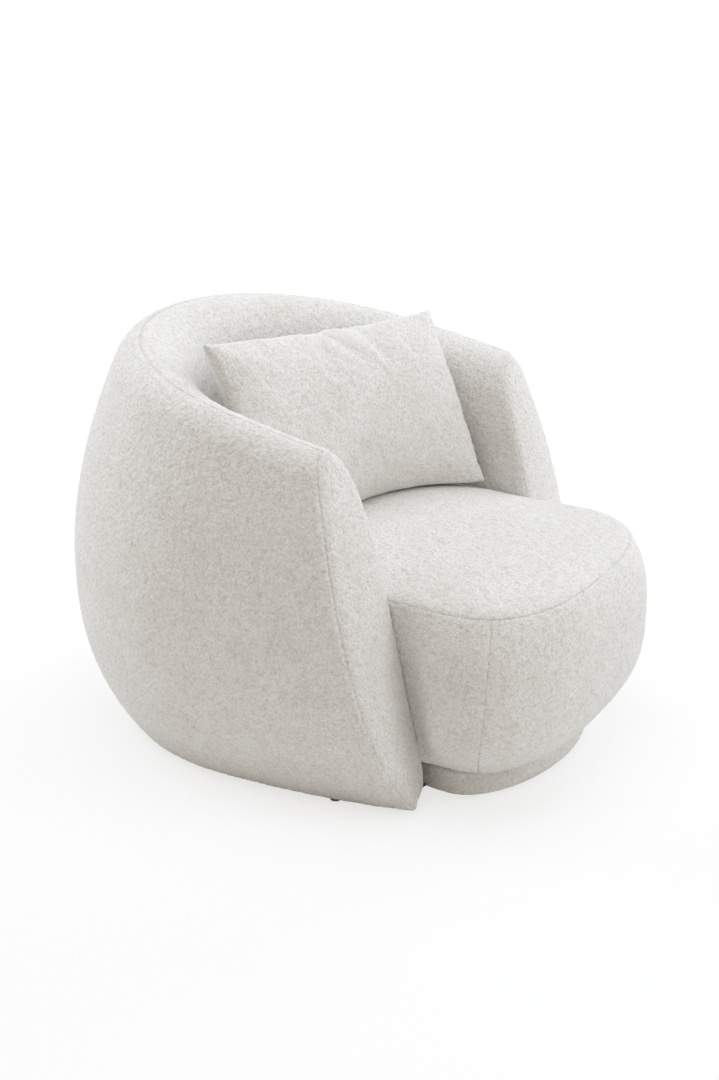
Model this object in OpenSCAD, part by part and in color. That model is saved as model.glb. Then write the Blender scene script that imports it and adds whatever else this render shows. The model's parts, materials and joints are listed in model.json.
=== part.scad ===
// Upholstered tub chair with a loose back cushion.
// The origin is on the floor under the middle of the chair. The front looks towards -Y.

/* [Overall] */
// Width of the shell at its widest
chair_w = 915; // [870:5:960]
// Depth from the outside of the back to the front of the seat
chair_d = 1042; // [1000:2:1084]
// Height of the rim at the middle of the back
back_h = 730; // [700:5:760]
// Height of the rim at the front of the arms
arm_h = 624; // [600:2:650]
// Height at which the shell is widest
widest_h = 313; // [290:1:340]

/* [Shell] */
// Distance from the widest station back to the outside of the back
back_run = 459; // [430:1:490]
// Distance ahead of the widest station at which the sides would close
side_run = 895; // [850:5:960]
// Power of the plan curve, where 2 is an ellipse
plan_power = 2.02; // [1.95:0.01:2.3]
// How far the shell leans in at the rim
rim_lean = 113; // [90:1:125]
// Power of the curve towards the rim
rim_lean_power = 1.82; // [1.6:0.02:2.2]
// How far the shell tucks in at the floor
foot_tuck = 96; // [80:1:110]
// Power of the curve towards the floor
foot_tuck_power = 2.57; // [2.2:0.01:3]
// Clear height under the hem
hem_h = 8; // [6:0.5:10]
// Distance from the front of the seat to the arms at the floor
arm_foot_back = 223; // [205:1:240]
// Distance from the front of the seat to the arms at their top
arm_top_back = 377; // [360:1:400]
// How far the front edge of the arm bows forward
arm_bow = 10; // [2:1:14]
// Thickness of the upholstered arm at its thickest
arm_t = 153; // [146:1:162]
// Thickness of the upholstered back at its thickest
back_t = 200; // [185:1:220]
// Thickness of the arm where it meets the hem
foot_t = 12; // [10:1:20]
// Radius of the crest
crest_r = 28; // [24:1:32]
// Power of the curve of the inner face, where 2 is an ellipse
inner_power = 2.2; // [2:0.05:2.6]
// How far the inner seam lies ahead of the outer seam
inner_ahead = 31; // [20:1:36]

/* [Seat] */
// Width of the seat at its widest, ahead of the arms
seat_w = 640; // [610:2:660]
// Depth of the rounded front of the seat
seat_run = 202; // [185:1:220]
// Power of the plan curve of the seat's front
seat_power = 2.7; // [2.3:0.05:3]
// Height of the seam round the seat's top panel
seam_h = 367; // [350:1:385]
// Rise of the seat's top panel above its seam
crown_h = 38; // [25:1:50]
// Height of the seat's lower edge above the floor
seat_foot_h = 61; // [56:1:68]
// How far the side is drawn in at the seam
seam_draw = 37; // [25:1:45]
// How far the side is drawn in at the lower edge
foot_draw = 72; // [60:1:80]
// Power of the side curve towards the seam
seam_draw_power = 2.6; // [2:0.1:3.2]
// Power of the side curve towards the lower edge
foot_draw_power = 3.4; // [2.6:0.1:4]
// Gap between the seat and the inner face of the shell
seat_gap = 2; // [1.6:0.1:3]

/* [Plinth] */
// Width of the plinth
plinth_w = 476; // [450:2:484]
// Depth of the plinth ahead of the seat's widest line
plinth_run = 121; // [105:1:126]
// Depth of the plinth behind the seat's widest line
plinth_back_run = 300; // [260:5:330]
// Power of the plan curve of the plinth
plinth_power = 1.9; // [1.8:0.05:2.3]

/* [Cushion] */
// Width of the cushion from corner to corner
cushion_w = 556; // [530:1:566]
// Height of the cushion from corner to corner
cushion_h = 357; // [330:1:380]
// Thickness of the cushion at its middle
cushion_t = 160; // [140:1:170]
// Angle by which the cushion leans back
cushion_lean = 22.4; // [18:0.2:25]
// Angle by which the cushion is turned towards its left arm
cushion_turn = 13.6; // [8:0.2:15]
// How far the upper and lower edges are drawn in between the corners
cushion_draw = 18; // [12:1:22]
// How far the side edges are drawn in between the corners
cushion_side_draw = 12; // [6:1:16]
// Distance from the back of the chair forward to the corners that the cushion stands on
cushion_back = 587; // [567:1:607]
// How far the cushion lies from the middle towards the left arm
cushion_shift = 8; // [0:1:12]
// How far the middle of the cushion's lower edge sags back between the arms
cushion_sag = 70; // [40:1:80]

/* [Cloth and foam] */
// Thickness of the looped cloth with its wadding
cloth_t = 5; // [4:0.5:6]
// Thickness of the outer pad at the uprights
outer_pad_t = 20; // [16:1:24]
// Thickness of the inner pad at the uprights
inner_pad_t = 50; // [44:1:56]
// Thickness of the pad ahead of the arm front boards
front_pad_t = 20; // [16:1:24]
// Height of the foam roll over the top rail
roll_h = 52; // [46:1:58]

/* [Timber] */
// Thickness of the plywood rails and boards
ply_t = 18; // [15:1:21]
// Thickness of the bent inner lining
lining_t = 4; // [3:0.5:5]
// Width of the bottom rail under the back
rail_w = 90; // [80:1:100]
// Height of the glides under the chair
glide_h = 12; // [11:0.5:14]

/* [Hidden] */

cloth_colour = [0.93, 0.92, 0.89];
foam_colour = [0.96, 0.93, 0.78];
ply_colour = [0.82, 0.66, 0.45];
board_colour = [0.66, 0.50, 0.33];
web_colour = [0.22, 0.22, 0.24];
lining_cloth_colour = [0.70, 0.62, 0.48];
steel_colour = [0.62, 0.63, 0.65];
plastic_colour = [0.25, 0.25, 0.26];

// Gap between flat layers that lie on one another
lay_gap = 0.4;
// Gap between a cover and the foam behind it
foam_gap = 2.7;
// Room between the curved backing and the straight timbers
frame_gap = 3.5;
// Slit between two covers that meet at a seam
seam_slit = 0.4;
// Overrun of every cutting shape
over = 1;
// Length that reaches past the whole chair
reach = chair_w + chair_d;
// Counts of stations round the shell and of levels up it
cover_stations = 42;
cover_levels = 13;
pad_stations = 30;
pad_levels = 7;
iterations = 5;

// Plan and profile of the shell
half_w = chair_w / 2;
back_y = chair_d / 2;
seat_front_y = -chair_d / 2;
mid_y = back_y - back_run;
foot_y = seat_front_y + arm_foot_back;
top_y = seat_front_y + arm_top_back;
crest_span_ratio = 1.4;
crest_span = crest_r * crest_span_ratio;

// Distances behind the front edge of the arms
band_gap = 0.9;
pad_back = cloth_t + front_pad_t + band_gap;
board_back = pad_back + lay_gap;
slant = atan((top_y - foot_y) / arm_h);

function spow(v, p) = sign(v) * pow(abs(v), p);
function mix(a, b, k) = a + (b - a) * k;
function clamp01(v) = max(0, min(1, v));
function smooth(v) = let (k = clamp01(v)) k * k * (3 - 2 * k);
function flip(list) = [for (i = [len(list) - 1:-1:0]) list[i]];

// Share of the full plan size that the shell has at height z
rim_h = max(back_h, arm_h);
function narrowing(z) = z > widest_h
    ? 1 - rim_lean / half_w * pow((z - widest_h) / (rim_h - widest_h), rim_lean_power)
    : 1 - foot_tuck / half_w * pow((widest_h - z) / widest_h, foot_tuck_power);

// Straight front line of the arms, and the same line with its bow
function front_line(z) = mix(foot_y, top_y, z / arm_h);
function front_y(z) = edge_y(z, 0);
function edge_y(z, back) =
    let (k = z / arm_h)
    front_line(z) + back - arm_bow * 4 * k * (1 - k) * max(0, 1 - back / pad_back);

// Plan angle from the middle of the back to the front edge at y
function plan_limit(z, y) =
    90 + asin(spow((mid_y - y) / ((y > mid_y ? back_run : side_run) * narrowing(z)), plan_power / 2));

// Point of the plan curve at station u, from -1 at the left arm to 1 at the right arm
function plan_point(u, z, inset, y) =
    let (a = u * plan_limit(z, y),
        s = spow(sin(a), 2 / plan_power),
        c = spow(cos(a), 2 / plan_power),
        run = c > 0 ? back_run : side_run,
        f = narrowing(z),
        across = [spow(s, plan_power - 1) / half_w, spow(c, plan_power - 1) / run],
        n = across / norm(across))
    [half_w * f * s - inset * n[0], mid_y + run * f * c - inset * n[1]];

// The rim lies in one tilted plane
rim_back_y = mid_y + back_run * narrowing(back_h);
rim_front_y = front_y(arm_h);
rim_slope = (back_h - arm_h) / (rim_back_y - rim_front_y);
rim_angle = atan(rim_slope);
function rim_plane(y) = arm_h + (y - rim_front_y) * rim_slope;
function rim_at(u, back, z = arm_h, k = iterations) = k == 0
    ? z
    : rim_at(u, back, rim_plane(plan_point(u, z, 0, edge_y(z, back))[1]), k - 1);

// Thickness of the wall at its thickest, at station u
function wall_t(u) = mix(arm_t, back_t, smooth(2 * (1 - abs(u))));

// Point of the wall at share s of its height, on its outer (side 1) or inner (side -1) face,
// d deep under the surface
function wall_s(u, s, side, d, back) =
    let (h = rim_at(u, back) - hem_h,
        z = hem_h + s * (h - d),
        q = clamp01((s - 1) * h / crest_span + 1),
        turn = sqrt(1 - q * q),
        end_t = mix(foot_t, crest_r, s),
        most = wall_t(u),
        full = fullness(s),
        t = end_t + (most - end_t) * full,
        inset = side > 0 ? crest_r * (1 - turn) + d * turn : t + seam_slit - d * turn,
        p = plan_point(u, z, inset, edge_y(z, back)),
        ahead = side > 0 ? 0 : inner_ahead * full)
    [p[0], p[1] - ahead, z];
function fullness(s) = sqrt(clamp01(1 - pow(abs(2 * s - 1), inner_power)));
function wall_z(u, z, side, d, back) =
    wall_s(u, (z - hem_h) / (rim_at(u, back) - hem_h - d), side, d, back);

// Height at which the wall's face meets the rim's plane lowered by drop
function cut_z(u, drop, side, d, back, z = arm_h - roll_h, k = iterations) = k == 0
    ? z
    : cut_z(u, drop, side, d, back, rim_plane(wall_z(u, z, side, d, back)[1]) - drop, k - 1);

// Closed solids from rings of points
function side_faces(rings, points, closed) =
    [for (k = [0:rings - (closed ? 1 : 2)]) for (j = [0:points - 1])
        let (a = k * points + j,
            b = k * points + (j + 1) % points,
            c = (k + 1) % rings * points + (j + 1) % points,
            d = (k + 1) % rings * points + j)
        for (f = [[a, c, b], [a, d, c]]) f];
function strip_faces(first, points, near) =
    [for (j = [0:points / 2 - 2])
        let (a = first + j,
            b = first + j + 1,
            c = first + points - 2 - j,
            d = first + points - 1 - j)
        for (f = near ? [[a, b, c], [a, c, d]] : [[a, c, b], [a, d, c]]) f];
function fan_faces(first, points, pole, near) =
    [for (j = [0:points - 1])
        let (a = first + j,
            b = first + (j + 1) % points)
        near ? [a, b, pole] : [b, a, pole]];

// A wall swept along its length: each ring holds one face's points and then the other's
module swept(rings) {
    n = len(rings[0]);
    last = (len(rings) - 1) * n;
    polyhedron([for (r = rings) each r],
        concat(side_faces(len(rings), n, false), strip_faces(0, n, true), strip_faces(last, n, false)));
}

// Rings stacked from a lower pole to an upper pole
module stacked(rings, low, high) {
    n = len(rings[0]);
    poles = len(rings) * n;
    polyhedron(concat([for (r = rings) each r], [low, high]),
        concat(side_faces(len(rings), n, false), fan_faces(0, n, poles, true),
            fan_faces(poles - n, n, poles + 1, false)));
}

// Rings joined end to end
module looped(rings) {
    polyhedron([for (r = rings) each r], side_faces(len(rings), len(rings[0]), true));
}

function steps(n) = [for (i = [0:n]) i / n];
function stations(n) = [for (i = [0:n]) 2 * i / n - 1];
function rising(n) = [for (i = [0:n]) sin(90 * i / n)];
function both_ends(n) = [for (i = [0:n]) (1 - cos(180 * i / n)) / 2];

// Cutting block over the rim's plane lowered by drop
module above_rim(drop) {
    translate([0, rim_front_y, arm_h - drop])
        rotate([rim_angle, 0, 0])
            translate([-reach, -reach, 0])
                cube([2 * reach, 2 * reach, reach]);
}

// Cutting block ahead of the arms' front line moved back
module ahead_of_arms(back) {
    translate([0, foot_y + back, 0])
        rotate([-slant, 0, 0])
            translate([-reach, -reach, -reach])
                cube([2 * reach, reach, 2 * reach]);
}

// Covers of the shell
module shell_cover_outside() {
    color(cloth_colour)
        swept([for (u = stations(cover_stations))
            concat([for (s = both_ends(cover_levels)) wall_s(u, s, 1, 0, 0)],
                flip([for (s = both_ends(cover_levels)) wall_s(u, s, 1, cloth_t, 0)]))]);
}

// The inside cover reaches the floor at the arms and is tucked in under the seat behind them
tuck_h = seat_foot_h + cloth_t;
tuck_start_share = 0.94;
tuck_end_share = 0.88;
function inner_low(u, floor_h) =
    mix(tuck_h, floor_h, smooth((abs(u) - tuck_end_share) / (tuck_start_share - tuck_end_share)));
inner_floor_h = glide_h + lay_gap;
function inner_first(u) = (inner_low(u, inner_floor_h) - hem_h) / (rim_at(u, 0) - hem_h);
function inner_levels(u) = [for (k = both_ends(cover_levels)) mix(inner_first(u), 1, k)];
module shell_cover_inside() {
    color(cloth_colour)
        swept([for (u = stations(cover_stations))
            concat([for (s = inner_levels(u)) wall_s(u, s, -1, cloth_t, 0)],
                flip([for (s = inner_levels(u)) wall_s(u, s, -1, 0, 0)]))]);
}

// Leaf-shaped band at the front of an arm, side 1 at the right
band_depth = cloth_t + band_gap;
band_crown = 7;
band_steps = 3;
leaf_levels = [for (i = [0:cover_levels - 1]) i];
function band_point(side, i, w, back) =
    let (s = both_ends(cover_levels)[i],
        t = inner_levels(side)[i],
        depth = band_depth + (back > cloth_t ? lay_gap : 0),
        a = wall_s(side, s, 1, depth, back),
        b = wall_s(side, t, -1, depth, back),
        width = min(1, norm(b - a) / arm_t),
        p = mix(a, b, w))
    [p[0], back < pad_back ? p[1] - band_crown * 4 * w * (1 - w) * width * (1 - back / pad_back)
        : front_line(p[2]) + back, p[2]];
module arm_band(side) {
    rows = [for (i = leaf_levels)
        concat([for (w = steps(band_steps)) band_point(side, i, w, 0)],
            flip([for (w = steps(band_steps)) band_point(side, i, w, cloth_t)]))];
    color(cloth_colour)
        swept(side > 0 ? flip(rows) : rows);
}
module arm_band_left() {
    arm_band(-1);
}
module arm_band_right() {
    arm_band(1);
}

// Foam between the front board and the front band
module arm_pad(side) {
    rows = [for (i = leaf_levels)
        concat([for (w = steps(band_steps)) band_point(side, i, w, cloth_t + band_gap)],
            flip([for (w = steps(band_steps)) band_point(side, i, w, pad_back)]))];
    color(foam_colour)
        swept(side > 0 ? flip(rows) : rows);
}
module arm_pad_left() {
    arm_pad(-1);
}
module arm_pad_right() {
    arm_pad(1);
}

// Heights of the bottom rail
rail_low = glide_h;
rail_high = rail_low + ply_t;

// Outer pad from the bottom rail up to the foam roll
pad_front = pad_back + 2 * frame_gap;
outer_pad_depth = cloth_t + foam_gap;
backing_gap = 2;
backing_depth = outer_pad_depth + outer_pad_t + backing_gap;
backing_t = 1.6;
function sheet_ring(u, d1, d2, low, drop, levels) =
    let (top1 = cut_z(u, drop, 1, d1, pad_front),
        top2 = cut_z(u, drop, 1, d2, pad_front))
    concat([for (k = steps(levels)) wall_z(u, mix(low, top1, k), 1, d1, pad_front)],
        flip([for (k = steps(levels)) wall_z(u, mix(low, top2, k), 1, d2, pad_front)]));
module outer_pad() {
    color(foam_colour)
        swept([for (u = stations(pad_stations))
            sheet_ring(u, outer_pad_depth, outer_pad_depth + outer_pad_t, rail_high + lay_gap,
                roll_h + lay_gap, pad_levels)]);
}
module backing_cloth() {
    color(lining_cloth_colour)
        swept([for (u = stations(pad_stations))
            sheet_ring(u, backing_depth, backing_depth + backing_t, rail_high + lay_gap,
                roll_h + lay_gap, pad_levels)]);
}
frame_depth = backing_depth + backing_t + frame_gap;

// Plan curve of the inner lining: off is measured outwards from its inner face
lining_front = board_back + ply_t / cos(slant) + lay_gap;
lining_stations = 60;
lining_limit = plan_limit(widest_h, foot_y + lining_front);
function lining_xy(a, off) =
    let (p = plan_point(a / lining_limit, widest_h, wall_t(a / lining_limit) - inner_pad_t - off,
            foot_y + lining_front))
    [p[0], p[1] - inner_ahead];
function lining_point(u, off) = lining_xy(u * lining_limit, off);
module lining_band(low, from, to) {
    translate([0, 0, low])
        linear_extrude(back_h - low)
            polygon(concat([for (u = stations(lining_stations)) lining_point(u, from)],
                flip([for (u = stations(lining_stations)) lining_point(u, to)])));
}
module inner_lining() {
    color(board_colour)
        difference() {
            lining_band(tuck_h, 0, lining_t);
            above_rim(roll_h + ply_t / cos(rim_angle));
            ahead_of_arms(lining_front);
        }
}

// Inner pad between the lining and the inside cover
pad_low = seat_foot_h + front_pad_t;
function pad_back_xy(u, z) =
    let (y = front_line(z) + pad_front + inner_ahead,
        a = u * (90 + asin(pow((mid_y - y) / side_run, plan_power / 2))))
    lining_xy(a, -backing_gap);
function inner_pad_ring(u) =
    let (top = cut_z(u, roll_h + lay_gap, -1, outer_pad_depth, pad_front + 2 * frame_gap),
        top_xy = pad_back_xy(u, top),
        back_top = rim_plane(pad_back_xy(u, rim_plane(top_xy[1]) - roll_h)[1]) - roll_h - backing_gap,
        zs = [for (k = steps(pad_levels)) mix(pad_low, back_top, k)])
    concat([for (z = zs) concat(pad_back_xy(u, z), z)],
        flip([for (k = steps(pad_levels))
            wall_z(u, mix(pad_low, top, k), -1, outer_pad_depth, pad_front + 2 * frame_gap)]));
module inner_pad() {
    color(foam_colour)
        swept([for (u = stations(pad_stations)) inner_pad_ring(u)]);
}

// Foam roll over the top rail
roll_levels = 5;
module crest_roll() {
    color(foam_colour)
        swept([for (u = stations(pad_stations))
            let (low_out = cut_z(u, roll_h, 1, outer_pad_depth, pad_front),
                low_in = cut_z(u, roll_h, -1, outer_pad_depth, pad_front),
                h = rim_at(u, pad_front) - hem_h - outer_pad_depth,
                s_out = (low_out - hem_h) / h,
                s_in = (low_in - hem_h) / h)
            concat([for (k = rising(roll_levels)) wall_s(u, mix(s_out, 1, k), 1, outer_pad_depth, pad_front)],
                flip([for (k = rising(roll_levels))
                    wall_s(u, mix(s_in, 1, k), -1, outer_pad_depth, pad_front)]))]);
}

// Tilted rail under the foam roll
function rail_top_xy(u, side) = side > 0
    ? wall_z(u, cut_z(u, roll_h + lay_gap, 1, frame_depth, pad_front), 1, frame_depth, pad_front)
    : lining_point(u, 0);
module top_rail() {
    color(ply_colour)
        difference() {
            translate([0, rim_front_y, arm_h - roll_h])
                rotate([rim_angle, 0, 0])
                    translate([0, 0, -ply_t])
                        linear_extrude(ply_t - lay_gap)
                            polygon([for (p = concat([for (u = stations(lining_stations)) rail_top_xy(u, 1)],
                                flip([for (u = stations(lining_stations)) rail_top_xy(u, -1)])))
                                [p[0], (p[1] - rim_front_y) / cos(rim_angle)]]);
            ahead_of_arms(pad_front);
        }
}

// Flat rail at the bottom, narrow beside the plinth and wide under the back
rail_edge = cloth_t + foot_t / 4;
rail_tip_w = 19;
rail_wide_share = 0.8;
rail_narrow_share = 0.86;
function rail_width(u) =
    mix(rail_w, rail_tip_w, smooth((abs(u) - rail_wide_share) / (rail_narrow_share - rail_wide_share)));
function rail_point(u, inset) = plan_point(u, rail_low, inset, edge_y(rail_high, board_back));
module bottom_rail() {
    color(ply_colour)
        difference() {
            translate([0, 0, rail_low])
                linear_extrude(ply_t)
                    polygon(concat([for (u = stations(pad_stations)) rail_point(u, rail_edge)],
                        flip([for (u = stations(pad_stations)) rail_point(u, rail_edge + rail_width(u))])));
            glide_holes();
            bolt_holes();
        }
}

// Leaf-shaped board at the front of an arm
board_levels = 10;
board_foot_w = 15;
function side_x(y) = half_w * pow(1 - pow((mid_y - y) / side_run, plan_power), 1 / plan_power);
module arm_board(side) {
    zs = [for (k = steps(board_levels)) mix(rail_high - over, arm_h, k)];
    outer = [for (z = zs)
        [side * wall_z(1, min(z, arm_h - roll_h), 1, frame_depth, board_back)[0], z / cos(slant)]];
    inner = [for (i = [0:board_levels])
        let (z = zs[i])
        [side * min(side_x(front_line(z) + board_back + inner_ahead) - arm_t + inner_pad_t + backing_gap,
            abs(outer[i][0]) - board_foot_w), z / cos(slant)]];
    color(ply_colour)
        difference() {
            translate([0, foot_y + board_back, 0])
                rotate([-slant, 0, 0])
                    translate([0, ply_t, 0])
                        rotate([90, 0, 0])
                            linear_extrude(ply_t)
                                polygon(concat(outer, flip(inner)));
            above_rim(roll_h + ply_t / cos(rim_angle));
            translate([-reach, -reach, rail_high - reach])
                cube([2 * reach, 2 * reach, reach]);
        }
}
module arm_board_left() {
    arm_board(-1);
}
module arm_board_right() {
    arm_board(1);
}

// Upright in the vertical plane at plan angle a from the middle of the back
upright_levels = 9;
upright_slack = 3;
module upright(a) {
    r = 1 / pow(pow(abs(sin(a)) / half_w, plan_power)
        + pow(abs(cos(a)) / (cos(a) > 0 ? back_run : side_run), plan_power), 1 / plan_power);
    s = r * sin(a) / half_w;
    c = r * cos(a) / (cos(a) > 0 ? back_run : side_run);
    across = [spow(s, plan_power - 1) / half_w,
        spow(c, plan_power - 1) / (cos(a) > 0 ? back_run : side_run)];
    n = across / norm(across);
    tilt = n[0] * sin(a) + n[1] * cos(a);
    share = atan2(spow(s, plan_power / 2), spow(c, plan_power / 2))
        / plan_limit(widest_h, foot_y + lining_front);
    inner_r = r - (wall_t(share) - inner_pad_t - lining_t + inner_ahead * n[1]) / tilt + upright_slack;
    zs = [for (k = steps(upright_levels)) mix(rail_high, back_h, k)];
    color(ply_colour)
        difference() {
            translate([0, mid_y, 0])
                rotate([0, 0, 90 - a])
                    translate([0, ply_t / 2, 0])
                        rotate([90, 0, 0])
                            linear_extrude(ply_t)
                                polygon(concat([for (z = zs) [r * narrowing(z) - frame_depth / tilt, z]],
                                    [[inner_r, back_h], [inner_r, rail_high]]));
            above_rim(roll_h + ply_t / cos(rim_angle));
        }
}
back_angle = 32;
corner_angle = 62;
side_angle = 92;
module upright_back() {
    upright(0);
}
module upright_back_left() {
    upright(-back_angle);
}
module upright_back_right() {
    upright(back_angle);
}
module upright_corner_left() {
    upright(-corner_angle);
}
module upright_corner_right() {
    upright(corner_angle);
}
module upright_side_left() {
    upright(-side_angle);
}
module upright_side_right() {
    upright(side_angle);
}

// Outline of the seat at height z, drawn d inwards
seat_half = seat_w / 2;
seat_y = seat_front_y + seat_run;
seat_widest_share = 0.53;
seat_widest_h = mix(seat_foot_h, seam_h, seat_widest_share);
arc_steps = 10;
rear_steps = 10;
rear_share = 0.97;
neck_back = 10;
neck_share = 1.5;
function neck_in(d) = d * neck_share + (d > cloth_t ? frame_gap : 0);
function draw_in(z) = z > seat_widest_h
    ? seam_draw * pow((z - seat_widest_h) / (seam_h - seat_widest_h), seam_draw_power)
    : foot_draw * pow((seat_widest_h - z) / (seat_widest_h - seat_foot_h), foot_draw_power);
function seat_half_ring(z, d) =
    let (draw = draw_in(z),
        corner = wall_z(1, z, -1, 0, 0),
        neck_x = corner[0] - seat_gap,
        extra = max(0, neck_x - (seat_half - draw)),
        front = [for (i = [0:arc_steps])
            let (a = 90 * i / arc_steps)
            [(seat_half - draw - d) * pow(sin(a), 2 / seat_power),
                seat_y - (seat_run - draw - d) * pow(cos(a), 2 / seat_power), z]],
        rear = [for (i = [0:rear_steps])
            let (u = (1 - i / rear_steps) * rear_share,
                w = wall_z(u, z, -1, 0, 0),
                v = wall_z(u, z, -1, -(seat_gap + extra + d), 0))
            [u == 0 ? 0 : v[0], v[1], z]])
    concat(front,
        [[neck_x - extra - neck_in(d), max(corner[1] - neck_back - neck_in(d), seat_y + d / 2), z]],
        rear);
function seat_ring(z, d) =
    let (h = seat_half_ring(z, d),
        n = len(h))
    concat(h, [for (i = [n - 2:-1:1]) [-h[i][0], h[i][1], z]]);

band_level_shares = [0, 0.07, 0.16, 0.28, 0.42, 0.58, 0.74, 0.88, 1];
function levels_within(low, high) =
    concat(low, [for (z = band_zs) if (z > low + cloth_t && z < high - cloth_t) z], high);
seat_centre_y = (seat_front_y + wall_z(0, seam_h, -1, 0, 0)[1]) / 2;
dome_steps = 5;
dome_power = 2.5;
function dome_ring(ring, k, low) =
    [for (p = ring)
        [p[0] * k, mix(seat_centre_y, p[1], k), seam_h + crown_h * (1 - pow(k, dome_power)) - low]];
module seat_cover_top() {
    edge = seat_ring(seam_h, 0);
    inner = seat_ring(seam_h, cloth_t);
    color(cloth_colour)
        stacked(concat([for (i = [1:dome_steps]) dome_ring(inner, i / dome_steps, cloth_t)],
            [for (i = [dome_steps:-1:1]) dome_ring(edge, i / dome_steps, 0)]),
            [0, seat_centre_y, seam_h + crown_h - cloth_t], [0, seat_centre_y, seam_h + crown_h]);
}

// Side bands of the seat between its seams
band_low = seat_foot_h;
board_low = seat_foot_h;
board_high = board_low + ply_t;
band_high = seam_h - cloth_t - lay_gap;
seam_index = 7;
ring_count = 2 * (arc_steps + rear_steps + 2);
band_zs = concat(band_low, [for (k = band_level_shares) mix(board_high + lay_gap, band_high, k)]);
band_outer = [for (z = band_zs) seat_ring(z, 0)];
band_inner = [for (z = band_zs) seat_ring(z, cloth_t)];
module seat_band(first, last) {
    count = last - first;
    color(cloth_colour)
        swept([for (i = [0:count])
            let (j = (first + i + ring_count) % ring_count,
                slit = i == 0 ? seam_slit : i == count ? -seam_slit : 0,
                next = (j + 1) % ring_count,
                before = (j + ring_count - 1) % ring_count,
                along = band_outer[0][next] - band_outer[0][before],
                shift = slit * along / norm(along))
            concat([for (ring = band_inner) ring[j] + shift],
                flip([for (ring = band_outer) ring[j] + shift]))]);
}
module seat_band_front() {
    seat_band(-seam_index, seam_index);
}
module seat_band_right() {
    seat_band(seam_index, ring_count / 2);
}
module seat_band_left() {
    seat_band(ring_count / 2, ring_count - seam_index);
}

// Timber of the seat
frame_h = 110;
frame_high = board_high + frame_h;
frame_margin = 14;
frame_inset = cloth_t + frame_margin;
frame_t = 20;
web_t = 2;
core_low = frame_high + 2 * web_t + lay_gap;
topper_edge_t = 37;
core_high = seam_h - topper_edge_t;
function flat(ring) = [for (p = ring) [p[0], p[1]]];
// Outline of the seat's timber: at each point the innermost of the seat's outlines up to the webbing
timber_zs = [seat_foot_h, board_high, board_high + frame_h / 2, board_high + frame_h];
function inmost(points) =
    let (spans = [for (p = points) norm([p[0], p[1] - seat_centre_y])],
        least = min(spans))
    [for (i = [0:len(points) - 1]) if (spans[i] == least) points[i]][0];
function foot_outline(d) =
    let (rings = [for (z = timber_zs) flat(seat_ring(z, d))])
    [for (i = [0:len(rings[0]) - 1]) inmost([for (r = rings) r[i]])];
module seat_base_board() {
    color(ply_colour)
        difference() {
            translate([0, 0, board_low])
                linear_extrude(ply_t)
                    polygon(foot_outline(cloth_t + 2 * lay_gap));
            bolt_holes();
        }
}
module seat_frame_ring() {
    color(ply_colour)
        translate([0, 0, board_high])
            linear_extrude(frame_h)
                difference() {
                    polygon(foot_outline(frame_inset));
                    polygon(foot_outline(frame_inset + frame_t));
                }
}
strap_w = 60;
strap_step = 92;
module straps(count, turned) {
    linear_extrude(web_t)
        intersection() {
            polygon(foot_outline(frame_inset + over));
            translate([0, seat_centre_y])
                rotate([0, 0, turned])
                    for (i = [0:count - 1])
                        translate([(i - (count - 1) / 2) * strap_step - strap_w / 2, -reach / 2])
                            square([strap_w, reach]);
        }
}
module webbing_lengthways() {
    color(web_colour)
        translate([0, 0, frame_high])
            straps(5, 0);
}
module webbing_crossways() {
    color(web_colour)
        translate([0, 0, frame_high + web_t])
            straps(7, 90);
}

// Foam of the seat
foam_depth = cloth_t + foam_gap;
module seat_core() {
    zs = levels_within(core_low, core_high);
    color(foam_colour)
        stacked([for (z = zs) seat_ring(z, foam_depth)], [0, seat_centre_y, core_low],
            [0, seat_centre_y, core_high]);
}
module seat_topper() {
    low = core_high + lay_gap;
    rim = seat_ring(seam_h, foam_depth);
    color(foam_colour)
        stacked(concat([seat_ring(low, foam_depth)],
            [for (i = [dome_steps:-1:1]) dome_ring(rim, i / dome_steps, foam_depth)]),
            [0, seat_centre_y, low], [0, seat_centre_y, seam_h + crown_h - foam_depth]);
}
module seat_side_pad() {
    zs = levels_within(board_high + lay_gap, frame_high);
    outer = [for (z = zs) seat_ring(z, foam_depth)];
    inner = foot_outline(frame_inset - lay_gap);
    color(foam_colour)
        looped([for (i = [0:ring_count - 1])
            concat([for (z = zs) [inner[i][0], inner[i][1], z]],
                flip([for (ring = outer) ring[i]]))]);
}

// Cross battens that carry the back of the seat on the bottom rail
bearer_w = 45;
bearer_back_share = 0.28;
bearer_first_y = seat_y + plinth_back_run + bearer_w * 2 / 3;
bearer_ys = [bearer_first_y, mix(bearer_first_y, back_y, bearer_back_share)];
bearer_reach = [for (y = bearer_ys) side_reach(y)];
function side_reach(y) =
    let (run = y > mid_y ? back_run : side_run, f = narrowing(rail_low))
    half_w * f * pow(1 - pow(abs(y - mid_y) / (run * f), plan_power), 1 / plan_power) - rail_edge - bearer_w;
module seat_bearers() {
    color(ply_colour)
        difference() {
            for (i = [0:1])
                translate([-bearer_reach[i], bearer_ys[i] - bearer_w / 2, rail_high])
                    cube([2 * bearer_reach[i], bearer_w, seat_foot_h - rail_high]);
            bolt_holes();
        }
}

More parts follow.
